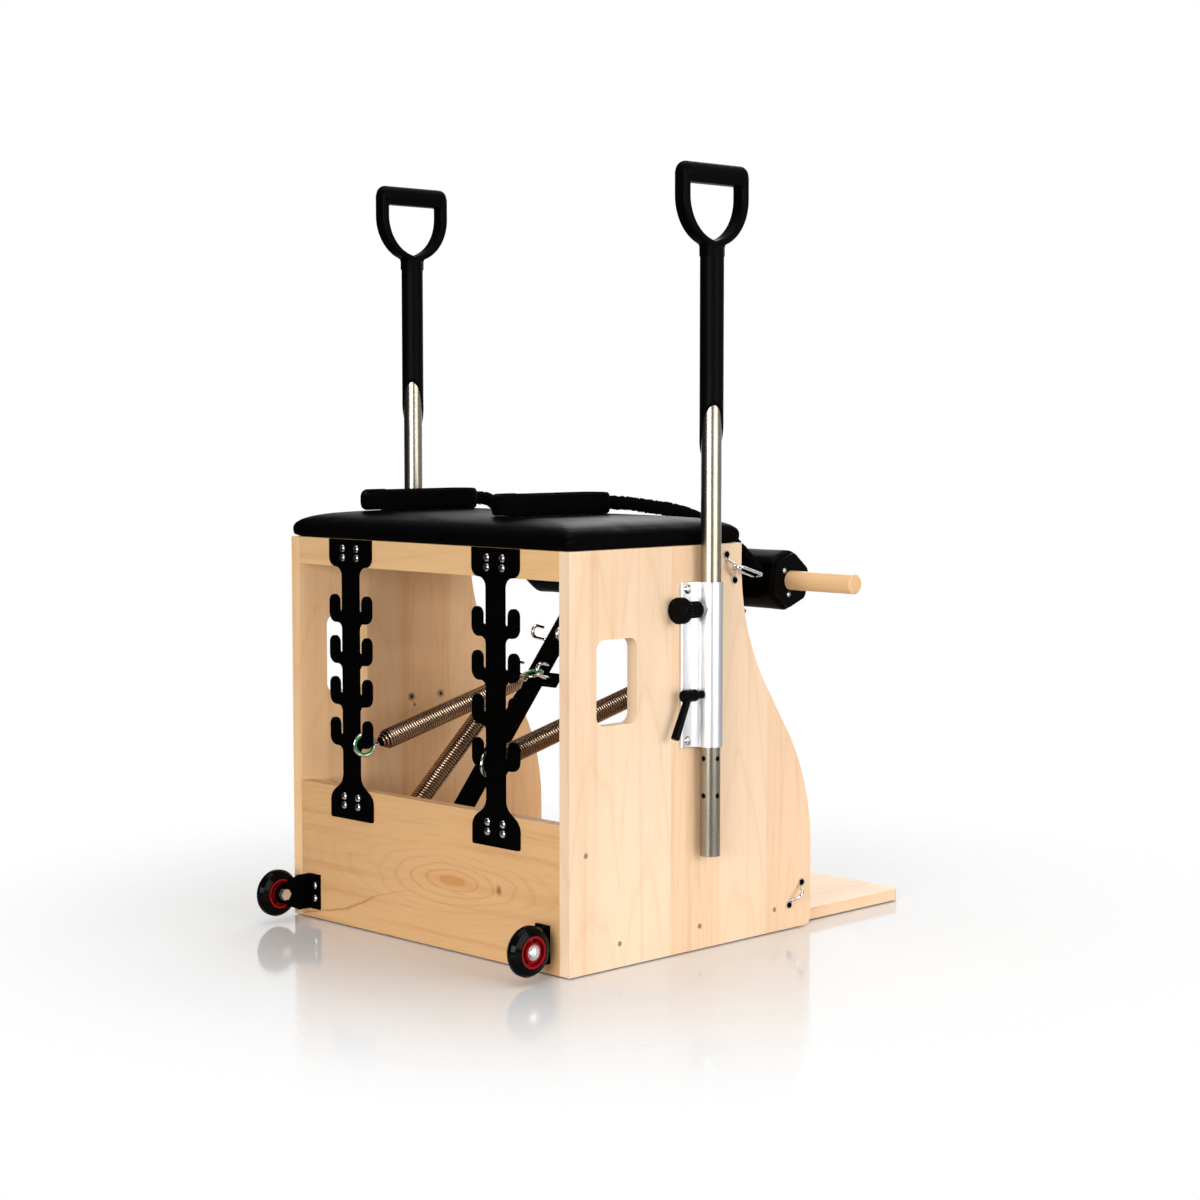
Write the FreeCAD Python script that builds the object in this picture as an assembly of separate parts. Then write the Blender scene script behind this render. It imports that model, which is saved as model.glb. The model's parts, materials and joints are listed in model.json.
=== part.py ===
import FreeCAD, Part
import math
import os

# Pilates chair with split pedals, spring trees, side handles and strap loops.
# Millimetres, +Z up. The front (pedals) is at -Y, the rear (spring trees) at +Y.
# The origin is on the floor, in the middle of the base board's length and width.

V = FreeCAD.Vector
os.makedirs("parts", exist_ok=True)

# Wooden body
BODY_WIDTH = 630.0
PANEL_HEIGHT = 600.0
PANEL_THICK = 20.0
PANEL_TOP_DEPTH = 357.0
PANEL_BOTTOM_DEPTH = 520.0
S_KNEE_DROP = 135.0
S_KNEE_BOTTOM = 225.0
S_RADIUS = 330.0
TOE_RADIUS = 12.0
HAND_HOLE_REAR = 53.0
HAND_HOLE_DEPTH = 82.0
HAND_HOLE_Z = 350.0
HAND_HOLE_HEIGHT = 123.0
HAND_HOLE_RADIUS = 15.0
RAIL_HEIGHT = 42.0
KICK_HEIGHT = 215.0
BASE_LENGTH = 770.0
BASE_THICK = 18.0
BASE_CORNER = 15.0
CLEAT_WIDTH = 30.0
CLEAT_HEIGHT = 32.0
CLEAT_FRONT_GAP = 25.0
CORNER_CLEAT = 24.0
CORNER_CLEAT_TOP_GAP = 5.0

# Wood screws
WOOD_HEAD_RADIUS = 4.0
WOOD_HEAD_HEIGHT = 4.0
WOOD_SHANK_RADIUS = 2.0
WOOD_SHANK_LENGTH = 36.0
BASE_SCREW_DEPTHS = (100.0, 268.0, 436.0)
CORNER_SCREW_Z = 170.0
INSERT_RADIUS = 6.5
INSERT_BORE = 3.0
INSERT_RIM = 1.2
INSERT_LENGTH = 12.0
INSERT_Z = 329.0
INSERT_DEPTHS = (227.0, 290.0)

# Seat
SEAT_THICK = 40.0
SEAT_BOARD_THICK = 12.0
SEAT_BOARD_INSET = 25.0
SEAT_CORNER = 5.0
SEAT_CORNER_GROWTH = 0.6
SEAT_DRAW_IN = 1.0
SEAT_SECTIONS = ((6.0, 0.0), (1.0, 0.1), (0.0, 0.33), (3.0, 0.52), (8.0, 0.63), (20.0, 0.76),
                 (40.0, 0.87), (75.0, 0.95), (120.0, 0.99), (165.0, 1.0))

# Spring trees
TREE_X = 165.0
TREE_THICK = 4.0
TREE_HALF_WIDTH = 50.0
TREE_STEM = 19.5
TREE_SLOT = 8.0
TREE_LOW_TIP_Z = 324.0
TREE_PITCH = 63.6
TREE_TOP_GAP = 43.0
TREE_FINGER = 26.0
TREE_HOOK_BASE = 17.0
TREE_OUTER_RADIUS = 15.0
TREE_INNER_RADIUS = 10.0
TREE_FOOT_DROP = 47.0
TREE_FOOT_CORNER = 3.0
TREE_FLARE_LOW = 10.0
TREE_FLARE_HEIGHT = 21.0
TREE_FLARE_RADIUS = 22.0
TREE_PLATE_RADIUS = 15.0
TREE_FOOT_SCREWS = 19.0
TREE_SCREW_SIDE = 16.5
TREE_SCREW_RISE = 7.0

# Button-head screws
BUTTON_RADIUS = 6.0
BUTTON_HEIGHT = 3.6
BUTTON_SHANK_RADIUS = 2.2
BUTTON_SHANK_LENGTH = 16.0

# Transport wheels
WHEEL_X = 289.0
WHEEL_BEHIND = 55.0
WHEEL_Z = 43.5
WHEEL_RADIUS = 36.5
WHEEL_WIDTH = 24.0
WHEEL_HUB_RADIUS = 23.0
WHEEL_SPOKE_HOLES = 6
WHEEL_SPOKE_HOLE_RADIUS = 3.6
WHEEL_SPOKE_PITCH = 17.0
BEARING_RADIUS = 11.0
BEARING_WIDTH = 7.0
AXLE_BOLT_RADIUS = 4.0
AXLE_HEAD_RADIUS = 9.0
AXLE_HEAD_HEIGHT = 4.5
AXLE_NUT_RADIUS = 9.2
AXLE_NUT_HEIGHT = 8.0
AXLE_WASHER_GAP = 0.3
WHEEL_GAP = 1.0
BRACKET_THICK = 4.0
BRACKET_LEG = 28.0
BRACKET_HEIGHT = 55.0
BRACKET_LOW = 14.5
BRACKET_EYE = 15.0
BRACKET_SHOULDER = 24.0
BRACKET_SCREW_RISE = 10.0

# Handles
POLE_OFFSET = 20.0
POLE_DEPTH = 268.0
POLE_RADIUS = 15.0
POLE_WALL = 2.0
POLE_BOTTOM = 143.0
POLE_TOP = 1000.0
POLE_HOLE_RADIUS = 4.0
POLE_HOLE_PITCH = 55.0
POLE_HOLES = 6
SLEEVE_DROP = 53.0
SLEEVE_LENGTH = 242.0
SLEEVE_RADIUS = 18.0
SLEEVE_CLEARANCE = 0.06
FLANGE_REACH = 46.0
FLANGE_THICK = 6.0
FLANGE_WIDTH = 21.0
FLANGE_EDGE = 2.0
FLANGE_COVE = 4.0
FLANGE_SCREW_REACH = 34.0
FLANGE_SCREW_END = 10.0
FLANGE_SCREW_RADIUS = 7.0
FLANGE_SCREW_HEIGHT = 4.0
FLANGE_SHANK_RADIUS = 3.0
SOCKET_RADIUS = 17.5
SCARF_TOP_LEFT = 850.0
SCARF_TOP_RIGHT = 810.0
SCARF_ANGLE = 69.0
SCARF_TURN_LEFT = 46.0
SCARF_TURN_RIGHT = 33.0
GRIP_LIFT_LEFT = 10.0
GRIP_LIFT_RIGHT = 0.0
GRIP_NECK_Z = 1034.0
GRIP_NECK_LENGTH = 16.0
GRIP_NECK_RADIUS = 6.0
GRIP_HEEL_Z = 1053.0
GRIP_WEB = 6.0
GRIP_TOP_Z = 1151.0
GRIP_BAR_RADIUS = 15.0
GRIP_BAR_END = 12.0
GRIP_HALF_WIDTH = 69.0
GRIP_ARM = 14.0
GRIP_THICK = 23.5
GRIP_EDGE = 5.0
GRIP_OPENING_CORNER = 2.5
PLUNGER_DROP = 39.0
PLUNGER_PIN_RADIUS = 3.5
PLUNGER_PIN_GAP = 0.3
PLUNGER_CLEARANCE = 0.06
BUSHING_RADIUS = 8.0
BUSHING_NUT_RADIUS = 11.0
BUSHING_NUT_HEIGHT = 8.0
BUSHING_STEM = 6.0
KNOB_RADIUS = 19.5
KNOB_LENGTH = 14.0
KNOB_EDGE = 2.5
COLLAR_RADIUS = 12.5
COLLAR_REACH = 11.0
KNOB_LOBES = 16
KNOB_LOBE_CUT = 2.4
KNOB_GAP = 0.5
LEVER_RISE = 78.0
LEVER_STUD_RADIUS = 4.0
LEVER_HUB_RADIUS = 9.0
LEVER_HUB_LENGTH = 26.0
LEVER_NECK_RADIUS = 6.0
LEVER_NECK_LENGTH = 14.0
LEVER_ARM_LENGTH = 68.0
LEVER_ARM_LEAN = 25.0
LEVER_ARM_RADIUS = 5.5
LEVER_TIP_RADIUS = 6.5

# Pedals
PIVOT_DEPTH = 128.6
PIVOT_Z = 42.0
AXLE_RADIUS = 10.0
AXLE_CLEARANCE = 0.06
HUB_RADIUS = 16.0
HUB_LENGTH = 44.0
BLOCK_WIDTH = 18.0
BLOCK_DEPTH = 50.0
BLOCK_CROWN = 18.0
BLOCK_GAP = 0.5
ARM_X = 165.0
ARM_ANGLE = 51.0
ARM_WIDTH = 20.0
ARM_HEIGHT = 26.0
PAD_REACH = 620.0
PAD_BEHIND = 18.0
PAD_FLATS = 84.0
PAD_CORNER = 12.0
PAD_HALF_LENGTH = 285.0
PAD_MIDDLE_GAP = 6.0
PLATE_THICK = 3.0
PLATE_INSET = 4.0
PLATE_SCREW_REACH = 22.0
PLATE_SCREW_TURN = 84.0
PLATE_SCREWS = 3
PLATE_SCREW_RADIUS = 4.2
PLATE_SCREW_HEIGHT = 2.5
MOUNT_PLATE_THICK = 5.0
MOUNT_PLATE_WIDTH = 60.0
MOUNT_PLATE_HEIGHT = 40.0
DOWEL_RADIUS = 15.0
DOWEL_CLEARANCE = 0.3
DOWEL_NEAR_REACH = 128.0
DOWEL_FAR_SETBACK = 20.0
DOWEL_CHAMFER = 1.5
HOOK_LOW = 410.0
HOOK_PITCH = 72.0
HOOK_WIRE = 3.0
HOOK_REACH = 30.0
HOOK_RISE = 19.0
HOOK_BEND = 9.3
HOOK_TIP = 22.0
HOOK_TILT = 14.0
LUG_LENGTH = 44.0
LUG_HEIGHT = 22.0
LUG_THICK = 10.0

# Springs
SPRING_RADIUS = 16.0
SPRING_WIRE = 3.0
SPRING_CURLS = 25
SPRING_TAPER_TURNS = 1.5
SPRING_END_RADIUS = 9.5
RING_RADIUS = 16.5
RING_WIRE = 2.2
RING_TURN = 20.0
RING_HANG = 38.0
RING_BACK = 2.5
EYE_RADIUS = 5.6
LINK_SLACK = 0.5
EYE_WIRE = 1.5
PLUG_DISC_RADIUS = 9.0
PLUG_DISC_LENGTH = 6.0
PLUG_OUT = 3.0
PARKED_GAP = 2.0
PARKED_DROP = 360.0
PARKED_SLOPE = 43.0
PARK_TAB_WIDTH = 16.0
PARK_PEG_RADIUS = 4.0

# Straps
LOOP_X = (215.0, -91.0)
LOOP_DEPTH = 69.0
LOOP_LENGTH = 222.0
LOOP_WIDTH = 62.0
LOOP_BAND = 9.0
LOOP_HEIGHT = 33.0
LOOP_LIFT = 0.4
LOOP_EDGE = 3.0
CORD_RADIUS = 11.0
HOOK_BODY_WIRE = 2.0
HOOK_BODY_WIDTH = 17.5
HOOK_BODY_SLACK = 0.6
EYE_ROD = 2.5
EYE_BEND = 8.5
EYE_STAND = 25.0
EYE_FOOT = 6.0
EYE_FOOT_THICK = 2.5
EYE_SCREW_RADIUS = 4.5
EYE_SCREW_HEIGHT = 2.8
UPPER_EYE = ((322.0, -16.0), (340.0, -55.0), (326.0, -35.5))
LOWER_EYE = ((497.0, 69.0), (468.0, 37.0), (478.0, 54.0))
CORD_NEAR = ((-91, -287, 56), (-110, -311, 56), (-146, -333, 50), (-190, -348, 45), (-232, -364, 29.5),
             (-268, -375, 6), (-298, -385, -21), (-324, -385, -50))
CORD_FAR = ((215, -287, 56), (216.8, -316.6, 55.8), (223.6, -344.6, 48.9), (235.7, -368.3, 35.8), (252.5, -385.2, 18.2),
            (273, -394, -2), (297, -393, -25), (324, -385, -50))

# Worked-out places
REAR_Y = BASE_LENGTH / 2.0
HALF_WIDTH = BODY_WIDTH / 2.0
INNER_X = HALF_WIDTH - PANEL_THICK
INNER_REAR_Y = REAR_Y - PANEL_THICK
SIDES = (("left", 1.0), ("right", -1.0))
PIVOT_Y = REAR_Y - PIVOT_DEPTH
ARM_RAD = math.radians(ARM_ANGLE)
ARM_DIR = V(0, -math.cos(ARM_RAD), math.sin(ARM_RAD))
ARM_NORMAL = V(0, math.sin(ARM_RAD), math.cos(ARM_RAD))
PIVOT = V(0, PIVOT_Y, PIVOT_Z)
PAD_CENTRE = PIVOT + ARM_DIR * PAD_REACH + ARM_NORMAL * PAD_BEHIND
POLE_X = HALF_WIDTH + POLE_OFFSET
POLE_Y = REAR_Y - POLE_DEPTH
SLOT_X = TREE_X - TREE_STEM - TREE_SLOT / 2.0
RAIL_LOW = PANEL_HEIGHT - RAIL_HEIGHT
TREE_LEVELS = 1 + int((RAIL_LOW - TREE_TOP_GAP - TREE_LOW_TIP_Z) / TREE_PITCH)
TREE_TIPS = [TREE_LOW_TIP_Z + level * TREE_PITCH for level in range(TREE_LEVELS)]
SLEEVE_HIGH = PANEL_HEIGHT - SLEEVE_DROP
SLEEVE_LOW = SLEEVE_HIGH - SLEEVE_LENGTH
PLUNGER_Z = SLEEVE_HIGH - PLUNGER_DROP
LEVER_Z = SLEEVE_LOW + LEVER_RISE
SPRING_MEAN = SPRING_RADIUS - SPRING_WIRE


def save(name, shape):
    shape.exportStep("parts/" + name + ".step")


def group(shapes):
    return Part.Compound(shapes)


def box(low, high):
    size = V(*high) - V(*low)
    return Part.makeBox(size.x, size.y, size.z, V(*low))


def rod(radius, start, end):
    axis = end - start
    return Part.makeCylinder(radius, axis.Length, start, axis)


def cut(shape, tools):
    return shape.cut(tools).removeSplitter() if tools else shape


def mirrored(shape, side):
    return shape if side > 0 else shape.mirror(V(0, 0, 0), V(1, 0, 0))


# Outlines: corners are (u, v, radius), and place() turns (u, v) into a point in space.
def outline(corners, place):
    points = [place(u, v) for u, v, radius in corners]
    entries = []
    count = len(corners)
    for index, (u, v, radius) in enumerate(corners):
        here = points[index]
        before = (points[index - 1] - here).normalize()
        after = (points[(index + 1) % count] - here).normalize()
        if radius <= 0:
            entries.append((here, None, here))
            continue
        half = before.getAngle(after) / 2.0
        reach = radius / math.tan(half)
        centre = here + (before + after).normalize() * (radius / math.sin(half))
        middle = centre + (here - centre).normalize() * radius
        entries.append((here + before * reach, middle, here + after * reach))
    edges = []
    for index, (start, middle, end) in enumerate(entries):
        if middle:
            edges.append(Part.Arc(start, middle, end).toShape())
        following = entries[(index + 1) % count][0]
        if (following - end).Length > 1e-6:
            edges.append(Part.LineSegment(end, following).toShape())
    return Part.Wire(edges)


def prism(corners, place, along):
    return Part.Face(outline(corners, place)).extrude(along)


def full_radius(before, here, after, share):
    """Radius of the arc at a corner that takes up a share of its shorter side."""
    first = V(before[0] - here[0], before[1] - here[1], 0)
    second = V(after[0] - here[0], after[1] - here[1], 0)
    return share * min(first.Length, second.Length) * math.tan(first.getAngle(second) / 2.0)


def hexagon(u, v, radius):
    """Corners of a nut's outline round (u, v)."""
    turns = [math.pi / 3 * k for k in range(6)]
    return [(u + radius * math.cos(turn), v + radius * math.sin(turn), 0) for turn in turns]


def on_x(x):
    return lambda u, v: V(x, u, v)


def on_y(y):
    return lambda u, v: V(u, y, v)


def on_z(z):
    return lambda u, v: V(u, v, z)


def turned(profile, base, axis):
    """Solid of revolution: profile is a closed list of (radius, height) points along axis from base."""
    points = [V(radius, 0, height) for radius, height in profile]
    face = Part.Face(Part.makePolygon(points + points[:1]))
    solid = face.revolve(V(0, 0, 0), V(0, 0, 1), 360)
    solid.Placement = FreeCAD.Placement(base, FreeCAD.Rotation(V(0, 0, 1), axis))
    return solid


def domed_screw(base, axis, radius, height, shank_radius, shank_length):
    """Domed head standing on base along axis, shank the other way."""
    steps = 6
    dome = [(radius * math.cos(a), height * math.sin(a)) for a in
            [math.pi / 2 * step / steps for step in range(steps)]]
    return turned(dome + [(0, height), (0, -shank_length), (shank_radius, -shank_length), (shank_radius, 0)],
                  base, axis)


# Paths: straight runs with tangent arcs.
def path(points, radii):
    edges = []
    last = points[0]
    for index in range(1, len(points) - 1):
        here = points[index]
        before = (points[index - 1] - here).normalize()
        after = (points[index + 1] - here).normalize()
        half = before.getAngle(after) / 2.0
        radius = radii[index - 1]
        reach = radius / math.tan(half)
        centre = here + (before + after).normalize() * (radius / math.sin(half))
        start = here + before * reach
        end = here + after * reach
        if (start - last).Length > 1e-6:
            edges.append(Part.LineSegment(last, start).toShape())
        edges.append(Part.Arc(start, centre + (here - centre).normalize() * radius, end).toShape())
        last = end
    edges.append(Part.LineSegment(last, points[-1]).toShape())
    return Part.Wire(edges)


def pipe(wire, radius):
    start = wire.OrderedEdges[0]
    point = start.valueAt(start.FirstParameter)
    tangent = start.tangentAt(start.FirstParameter)
    circle = Part.Wire([Part.Circle(point, tangent, radius).toShape()])
    sweep = Part.BRepOffsetAPI.MakePipeShell(wire)
    sweep.add(circle)
    sweep.build()
    sweep.makeSolid()
    return sweep.shape()


def cord_tube(name, points, radius):
    points = [V(*point) for point in points]
    radii = []
    for index in range(1, len(points) - 1):
        before = points[index - 1] - points[index]
        after = points[index + 1] - points[index]
        turn = math.pi - before.getAngle(after)
        radii.append(0.45 * min(before.Length, after.Length) / math.tan(turn / 2.0))
    wire = path(points, radii)
    tube = pipe(wire, radius)
    print(name, "length", round(wire.Length, 1), "radii", [round(value) for value in radii],
          "volume ratio", round(tube.Volume / (math.pi * radius ** 2 * wire.Length), 4))
    return tube


# Wooden body
def wood_screw_places():
    """(side, point on the outer panel face) of each screw through a side panel."""
    places = []
    for name, side in SIDES:
        x = side * HALF_WIDTH
        for depth in BASE_SCREW_DEPTHS:
            places.append((side, V(x, REAR_Y - depth, BASE_THICK + CLEAT_HEIGHT / 2.0)))
        places.append((side, V(x, INNER_REAR_Y - CORNER_CLEAT / 2.0, CORNER_SCREW_Z)))
    return places


def wood_screw(side, point):
    profile = [(0, 0), (WOOD_HEAD_RADIUS, 0), (WOOD_SHANK_RADIUS, WOOD_HEAD_HEIGHT),
               (WOOD_SHANK_RADIUS, WOOD_SHANK_LENGTH), (0, WOOD_SHANK_LENGTH)]
    return turned(profile, point, V(-side, 0, 0))


def insert_places(side):
    return [V(side * INNER_X, REAR_Y - depth, INSERT_Z) for depth in INSERT_DEPTHS]


def panel_insert(side, point):
    """Threaded insert with a rim, set flush in the inner face of a side panel."""
    shaft = INSERT_RADIUS - INSERT_RIM
    profile = [(INSERT_BORE, -INSERT_RIM), (INSERT_RADIUS, -INSERT_RIM), (INSERT_RADIUS, 0), (shaft, 0),
               (shaft, INSERT_LENGTH), (INSERT_BORE, INSERT_LENGTH)]
    return turned(profile, point, V(side, 0, 0))


def insert_space(side, point):
    return rod(INSERT_RADIUS - INSERT_RIM, point, point + V(side * INSERT_LENGTH, 0, 0))


def eye_places():
    """(foot point 1, foot point 2, apex) of each wire eye, with the outer panel side."""
    places = []
    for name, side in SIDES:
        for (first, second, tip), level in ((UPPER_EYE, PANEL_HEIGHT), (LOWER_EYE, 0.0)):
            x = side * HALF_WIDTH
            a = V(x, REAR_Y - first[0], level + first[1])
            b = V(x, REAR_Y - second[0], level + second[1])
            apex = V(x + side * EYE_STAND, REAR_Y - tip[0], level + tip[1])
            places.append((side, a, b, apex))
    return places


def eye_screw(side, foot):
    head = foot + V(side * EYE_FOOT_THICK, 0, 0)
    return domed_screw(head, V(side, 0, 0), EYE_SCREW_RADIUS, EYE_SCREW_HEIGHT,
                       BUTTON_SHANK_RADIUS, BUTTON_SHANK_LENGTH)


def flange_screw_places(side):
    y = POLE_Y + FLANGE_SCREW_REACH
    x = side * (HALF_WIDTH + FLANGE_THICK)
    return [V(x, y, SLEEVE_LOW + FLANGE_SCREW_END), V(x, y, SLEEVE_HIGH - FLANGE_SCREW_END)]


def flange_screw(side, point):
    return domed_screw(point, V(side, 0, 0), FLANGE_SCREW_RADIUS, FLANGE_SCREW_HEIGHT,
                       FLANGE_SHANK_RADIUS, FLANGE_THICK + PANEL_THICK)


def side_panel(side):
    front_top = REAR_Y - PANEL_TOP_DEPTH
    front_low = REAR_Y - PANEL_BOTTOM_DEPTH
    corners = [(REAR_Y, 0, 0), (front_low, 0, TOE_RADIUS), (front_low, S_KNEE_BOTTOM, S_RADIUS),
               (front_top, PANEL_HEIGHT - S_KNEE_DROP, S_RADIUS), (front_top, PANEL_HEIGHT, 0),
               (REAR_Y, PANEL_HEIGHT, 0)]
    panel = prism(corners, on_x(side * HALF_WIDTH), V(-side * PANEL_THICK, 0, 0))
    hole_rear = REAR_Y - HAND_HOLE_REAR
    hole_front = hole_rear - HAND_HOLE_DEPTH
    hole_top = HAND_HOLE_Z + HAND_HOLE_HEIGHT
    hole = [(hole_rear, HAND_HOLE_Z, HAND_HOLE_RADIUS), (hole_front, HAND_HOLE_Z, HAND_HOLE_RADIUS),
            (hole_front, hole_top, HAND_HOLE_RADIUS), (hole_rear, hole_top, HAND_HOLE_RADIUS)]
    tools = [prism(hole, on_x(side * HALF_WIDTH), V(-side * PANEL_THICK, 0, 0))]
    tools += [wood_screw(s, point) for s, point in wood_screw_places() if s == side]
    tools += [eye_screw(s, foot) for s, a, b, apex in eye_places() if s == side for foot in (a, b)]
    tools += [flange_screw(side, point) for point in flange_screw_places(side)]
    tools += [insert_space(side, point) for point in insert_places(side)]
    return cut(panel, tools)


def tree_screw_places():
    """Points on the tree plates' rear faces where their screws sit."""
    y = REAR_Y + TREE_THICK
    top = PANEL_HEIGHT - RAIL_HEIGHT / 2.0
    low = KICK_HEIGHT - TREE_FOOT_SCREWS
    return [V(side * TREE_X + across, y, middle + rise)
            for name, side in SIDES
            for middle in (top, low)
            for across in (-TREE_SCREW_SIDE, TREE_SCREW_SIDE)
            for rise in (-TREE_SCREW_RISE, TREE_SCREW_RISE)]


def bracket_screw_places():
    x = WHEEL_X - WHEEL_WIDTH / 2.0 - WHEEL_GAP - BRACKET_LEG + BRACKET_THICK + BUTTON_RADIUS
    middle = BRACKET_LOW + BRACKET_HEIGHT / 2.0
    return [V(side * x, REAR_Y + BRACKET_THICK, middle + rise)
            for name, side in SIDES
            for rise in (-BRACKET_SCREW_RISE, BRACKET_SCREW_RISE)]


def button_screw(point):
    return domed_screw(point, V(0, 1, 0), BUTTON_RADIUS, BUTTON_HEIGHT,
                       BUTTON_SHANK_RADIUS, BUTTON_SHANK_LENGTH)


def make_body():
    for name, side in SIDES:
        save("side_panel_" + name, side_panel(side))
    rear_screws = [button_screw(point) for point in tree_screw_places() + bracket_screw_places()]
    rail = box((-INNER_X, INNER_REAR_Y, RAIL_LOW), (INNER_X, REAR_Y, PANEL_HEIGHT))
    save("rear_top_rail", cut(rail, rear_screws))
    front_y = REAR_Y - PANEL_TOP_DEPTH
    save("front_top_rail", box((-INNER_X, front_y, RAIL_LOW), (INNER_X, front_y + PANEL_THICK, PANEL_HEIGHT)))
    kick = box((-INNER_X, INNER_REAR_Y, 0), (INNER_X, REAR_Y, KICK_HEIGHT))
    save("rear_kick_panel", cut(kick, rear_screws))
    front = -BASE_LENGTH / 2.0
    base = prism([(-INNER_X, INNER_REAR_Y, 0), (-INNER_X, front, BASE_CORNER), (INNER_X, front, BASE_CORNER),
                  (INNER_X, INNER_REAR_Y, 0)], on_z(0), V(0, 0, BASE_THICK))
    save("base_board", base)
    screws = [wood_screw(side, point) for side, point in wood_screw_places()]
    cleat_top = BASE_THICK + CLEAT_HEIGHT
    cleat_front = REAR_Y - PANEL_BOTTOM_DEPTH + CLEAT_FRONT_GAP
    cleats = []
    for name, side in SIDES:
        inner = INNER_X - CLEAT_WIDTH
        low = box((inner, cleat_front, BASE_THICK), (INNER_X, INNER_REAR_Y, cleat_top))
        corner = box((INNER_X - CORNER_CLEAT, INNER_REAR_Y - CORNER_CLEAT, cleat_top),
                     (INNER_X, INNER_REAR_Y, KICK_HEIGHT - CORNER_CLEAT_TOP_GAP))
        cleats += [cut(mirrored(low, side), screws), cut(mirrored(corner, side), screws)]
    save("inner_cleats", group(cleats))
    inserts = [panel_insert(side, point) for name, side in SIDES for point in insert_places(side)]
    save("wood_screws", group(screws + inserts))
    flange_screws = [flange_screw(side, point) for name, side in SIDES for point in flange_screw_places(side)]
    save("button_screws", group(rear_screws + flange_screws))


# Seat
def seat_section(inset, z):
    """Rounded rectangle whose sides draw in a little between the corners."""
    x = HALF_WIDTH - inset
    rear = REAR_Y - inset
    front = REAR_Y - PANEL_TOP_DEPTH + inset
    r = min(SEAT_CORNER + SEAT_CORNER_GROWTH * inset, 0.45 * (rear - front), 0.9 * x)
    nip = r * (1 - math.sqrt(0.5))
    middle_y = (rear + front) / 2.0
    d = SEAT_DRAW_IN
    arcs = [((-x + r, front), (0, front + d), (x - r, front)),
            ((x - r, front), (x - nip, front + nip), (x, front + r)),
            ((x, front + r), (x - d, middle_y), (x, rear - r)),
            ((x, rear - r), (x - nip, rear - nip), (x - r, rear)),
            ((x - r, rear), (0, rear - d), (-x + r, rear)),
            ((-x + r, rear), (-x + nip, rear - nip), (-x, rear - r)),
            ((-x, rear - r), (-x + d, middle_y), (-x, front + r)),
            ((-x, front + r), (-x + nip, front + nip), (-x + r, front))]
    return Part.Wire([Part.Arc(*[V(px, py, z) for px, py in arc]).toShape() for arc in arcs])


def make_seat():
    x = HALF_WIDTH - SEAT_BOARD_INSET
    board = box((-x, REAR_Y - PANEL_TOP_DEPTH + SEAT_BOARD_INSET, PANEL_HEIGHT),
                (x, REAR_Y - SEAT_BOARD_INSET, PANEL_HEIGHT + SEAT_BOARD_THICK))
    save("seat_board", board)
    wires = [seat_section(inset, PANEL_HEIGHT + rise * SEAT_THICK) for inset, rise in SEAT_SECTIONS]
    cushion = Part.makeLoft(wires, True, True)
    save("seat_cushion", cushion.cut(board))


# Spring trees
def tree(side):
    flare_low = KICK_HEIGHT - TREE_FLARE_LOW
    half = [(TREE_HALF_WIDTH, KICK_HEIGHT - TREE_FOOT_DROP, TREE_FOOT_CORNER),
            (TREE_HALF_WIDTH, flare_low, TREE_FLARE_RADIUS),
            (TREE_STEM, flare_low + TREE_FLARE_HEIGHT, TREE_FLARE_RADIUS)]
    slot = TREE_STEM + TREE_SLOT
    tip_radius = 0.495 * (TREE_HALF_WIDTH - slot)
    slot_radius = 0.49 * TREE_SLOT
    for tip in TREE_TIPS:
        bottom = tip - TREE_FINGER
        under = bottom - TREE_HOOK_BASE
        half += [(TREE_STEM, under, TREE_INNER_RADIUS), (TREE_HALF_WIDTH, under, TREE_OUTER_RADIUS),
                 (TREE_HALF_WIDTH, tip, tip_radius), (slot, tip, tip_radius), (slot, bottom, slot_radius),
                 (TREE_STEM, bottom, slot_radius)]
    half += [(TREE_STEM, RAIL_LOW, TREE_PLATE_RADIUS), (TREE_HALF_WIDTH, RAIL_LOW, TREE_PLATE_RADIUS),
             (TREE_HALF_WIDTH, PANEL_HEIGHT, 0)]
    corners = half + [(-u, v, radius) for u, v, radius in reversed(half)]
    corners = [(side * TREE_X + u, v, radius) for u, v, radius in corners]
    plate = prism(corners, on_y(REAR_Y), V(0, TREE_THICK, 0))
    return cut(plate, [button_screw(point) for point in tree_screw_places() if point.x * side > 0])


def tree_ring_centre():
    turn = math.radians(RING_TURN)
    y = REAR_Y - RING_BACK
    drift = (TREE_THICK / 2.0 + RING_BACK) * math.tan(turn)
    return V(SLOT_X - drift, y, TREE_LOW_TIP_Z - RING_HANG)


def torus(centre, axis, radius, wire):
    return Part.makeTorus(radius, wire, centre, axis)


def tree_ring_direction():
    turn = math.radians(RING_TURN)
    return V(-math.sin(turn), -math.cos(turn), 0)


def make_trees():
    rings = []
    for name, side in SIDES:
        save("spring_tree_" + name, tree(side))
        across = tree_ring_direction().cross(V(0, 0, 1))
        rings.append(mirrored(torus(tree_ring_centre(), across, RING_RADIUS, RING_WIRE), side))
    save("tree_spring_rings", group(rings))


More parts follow.
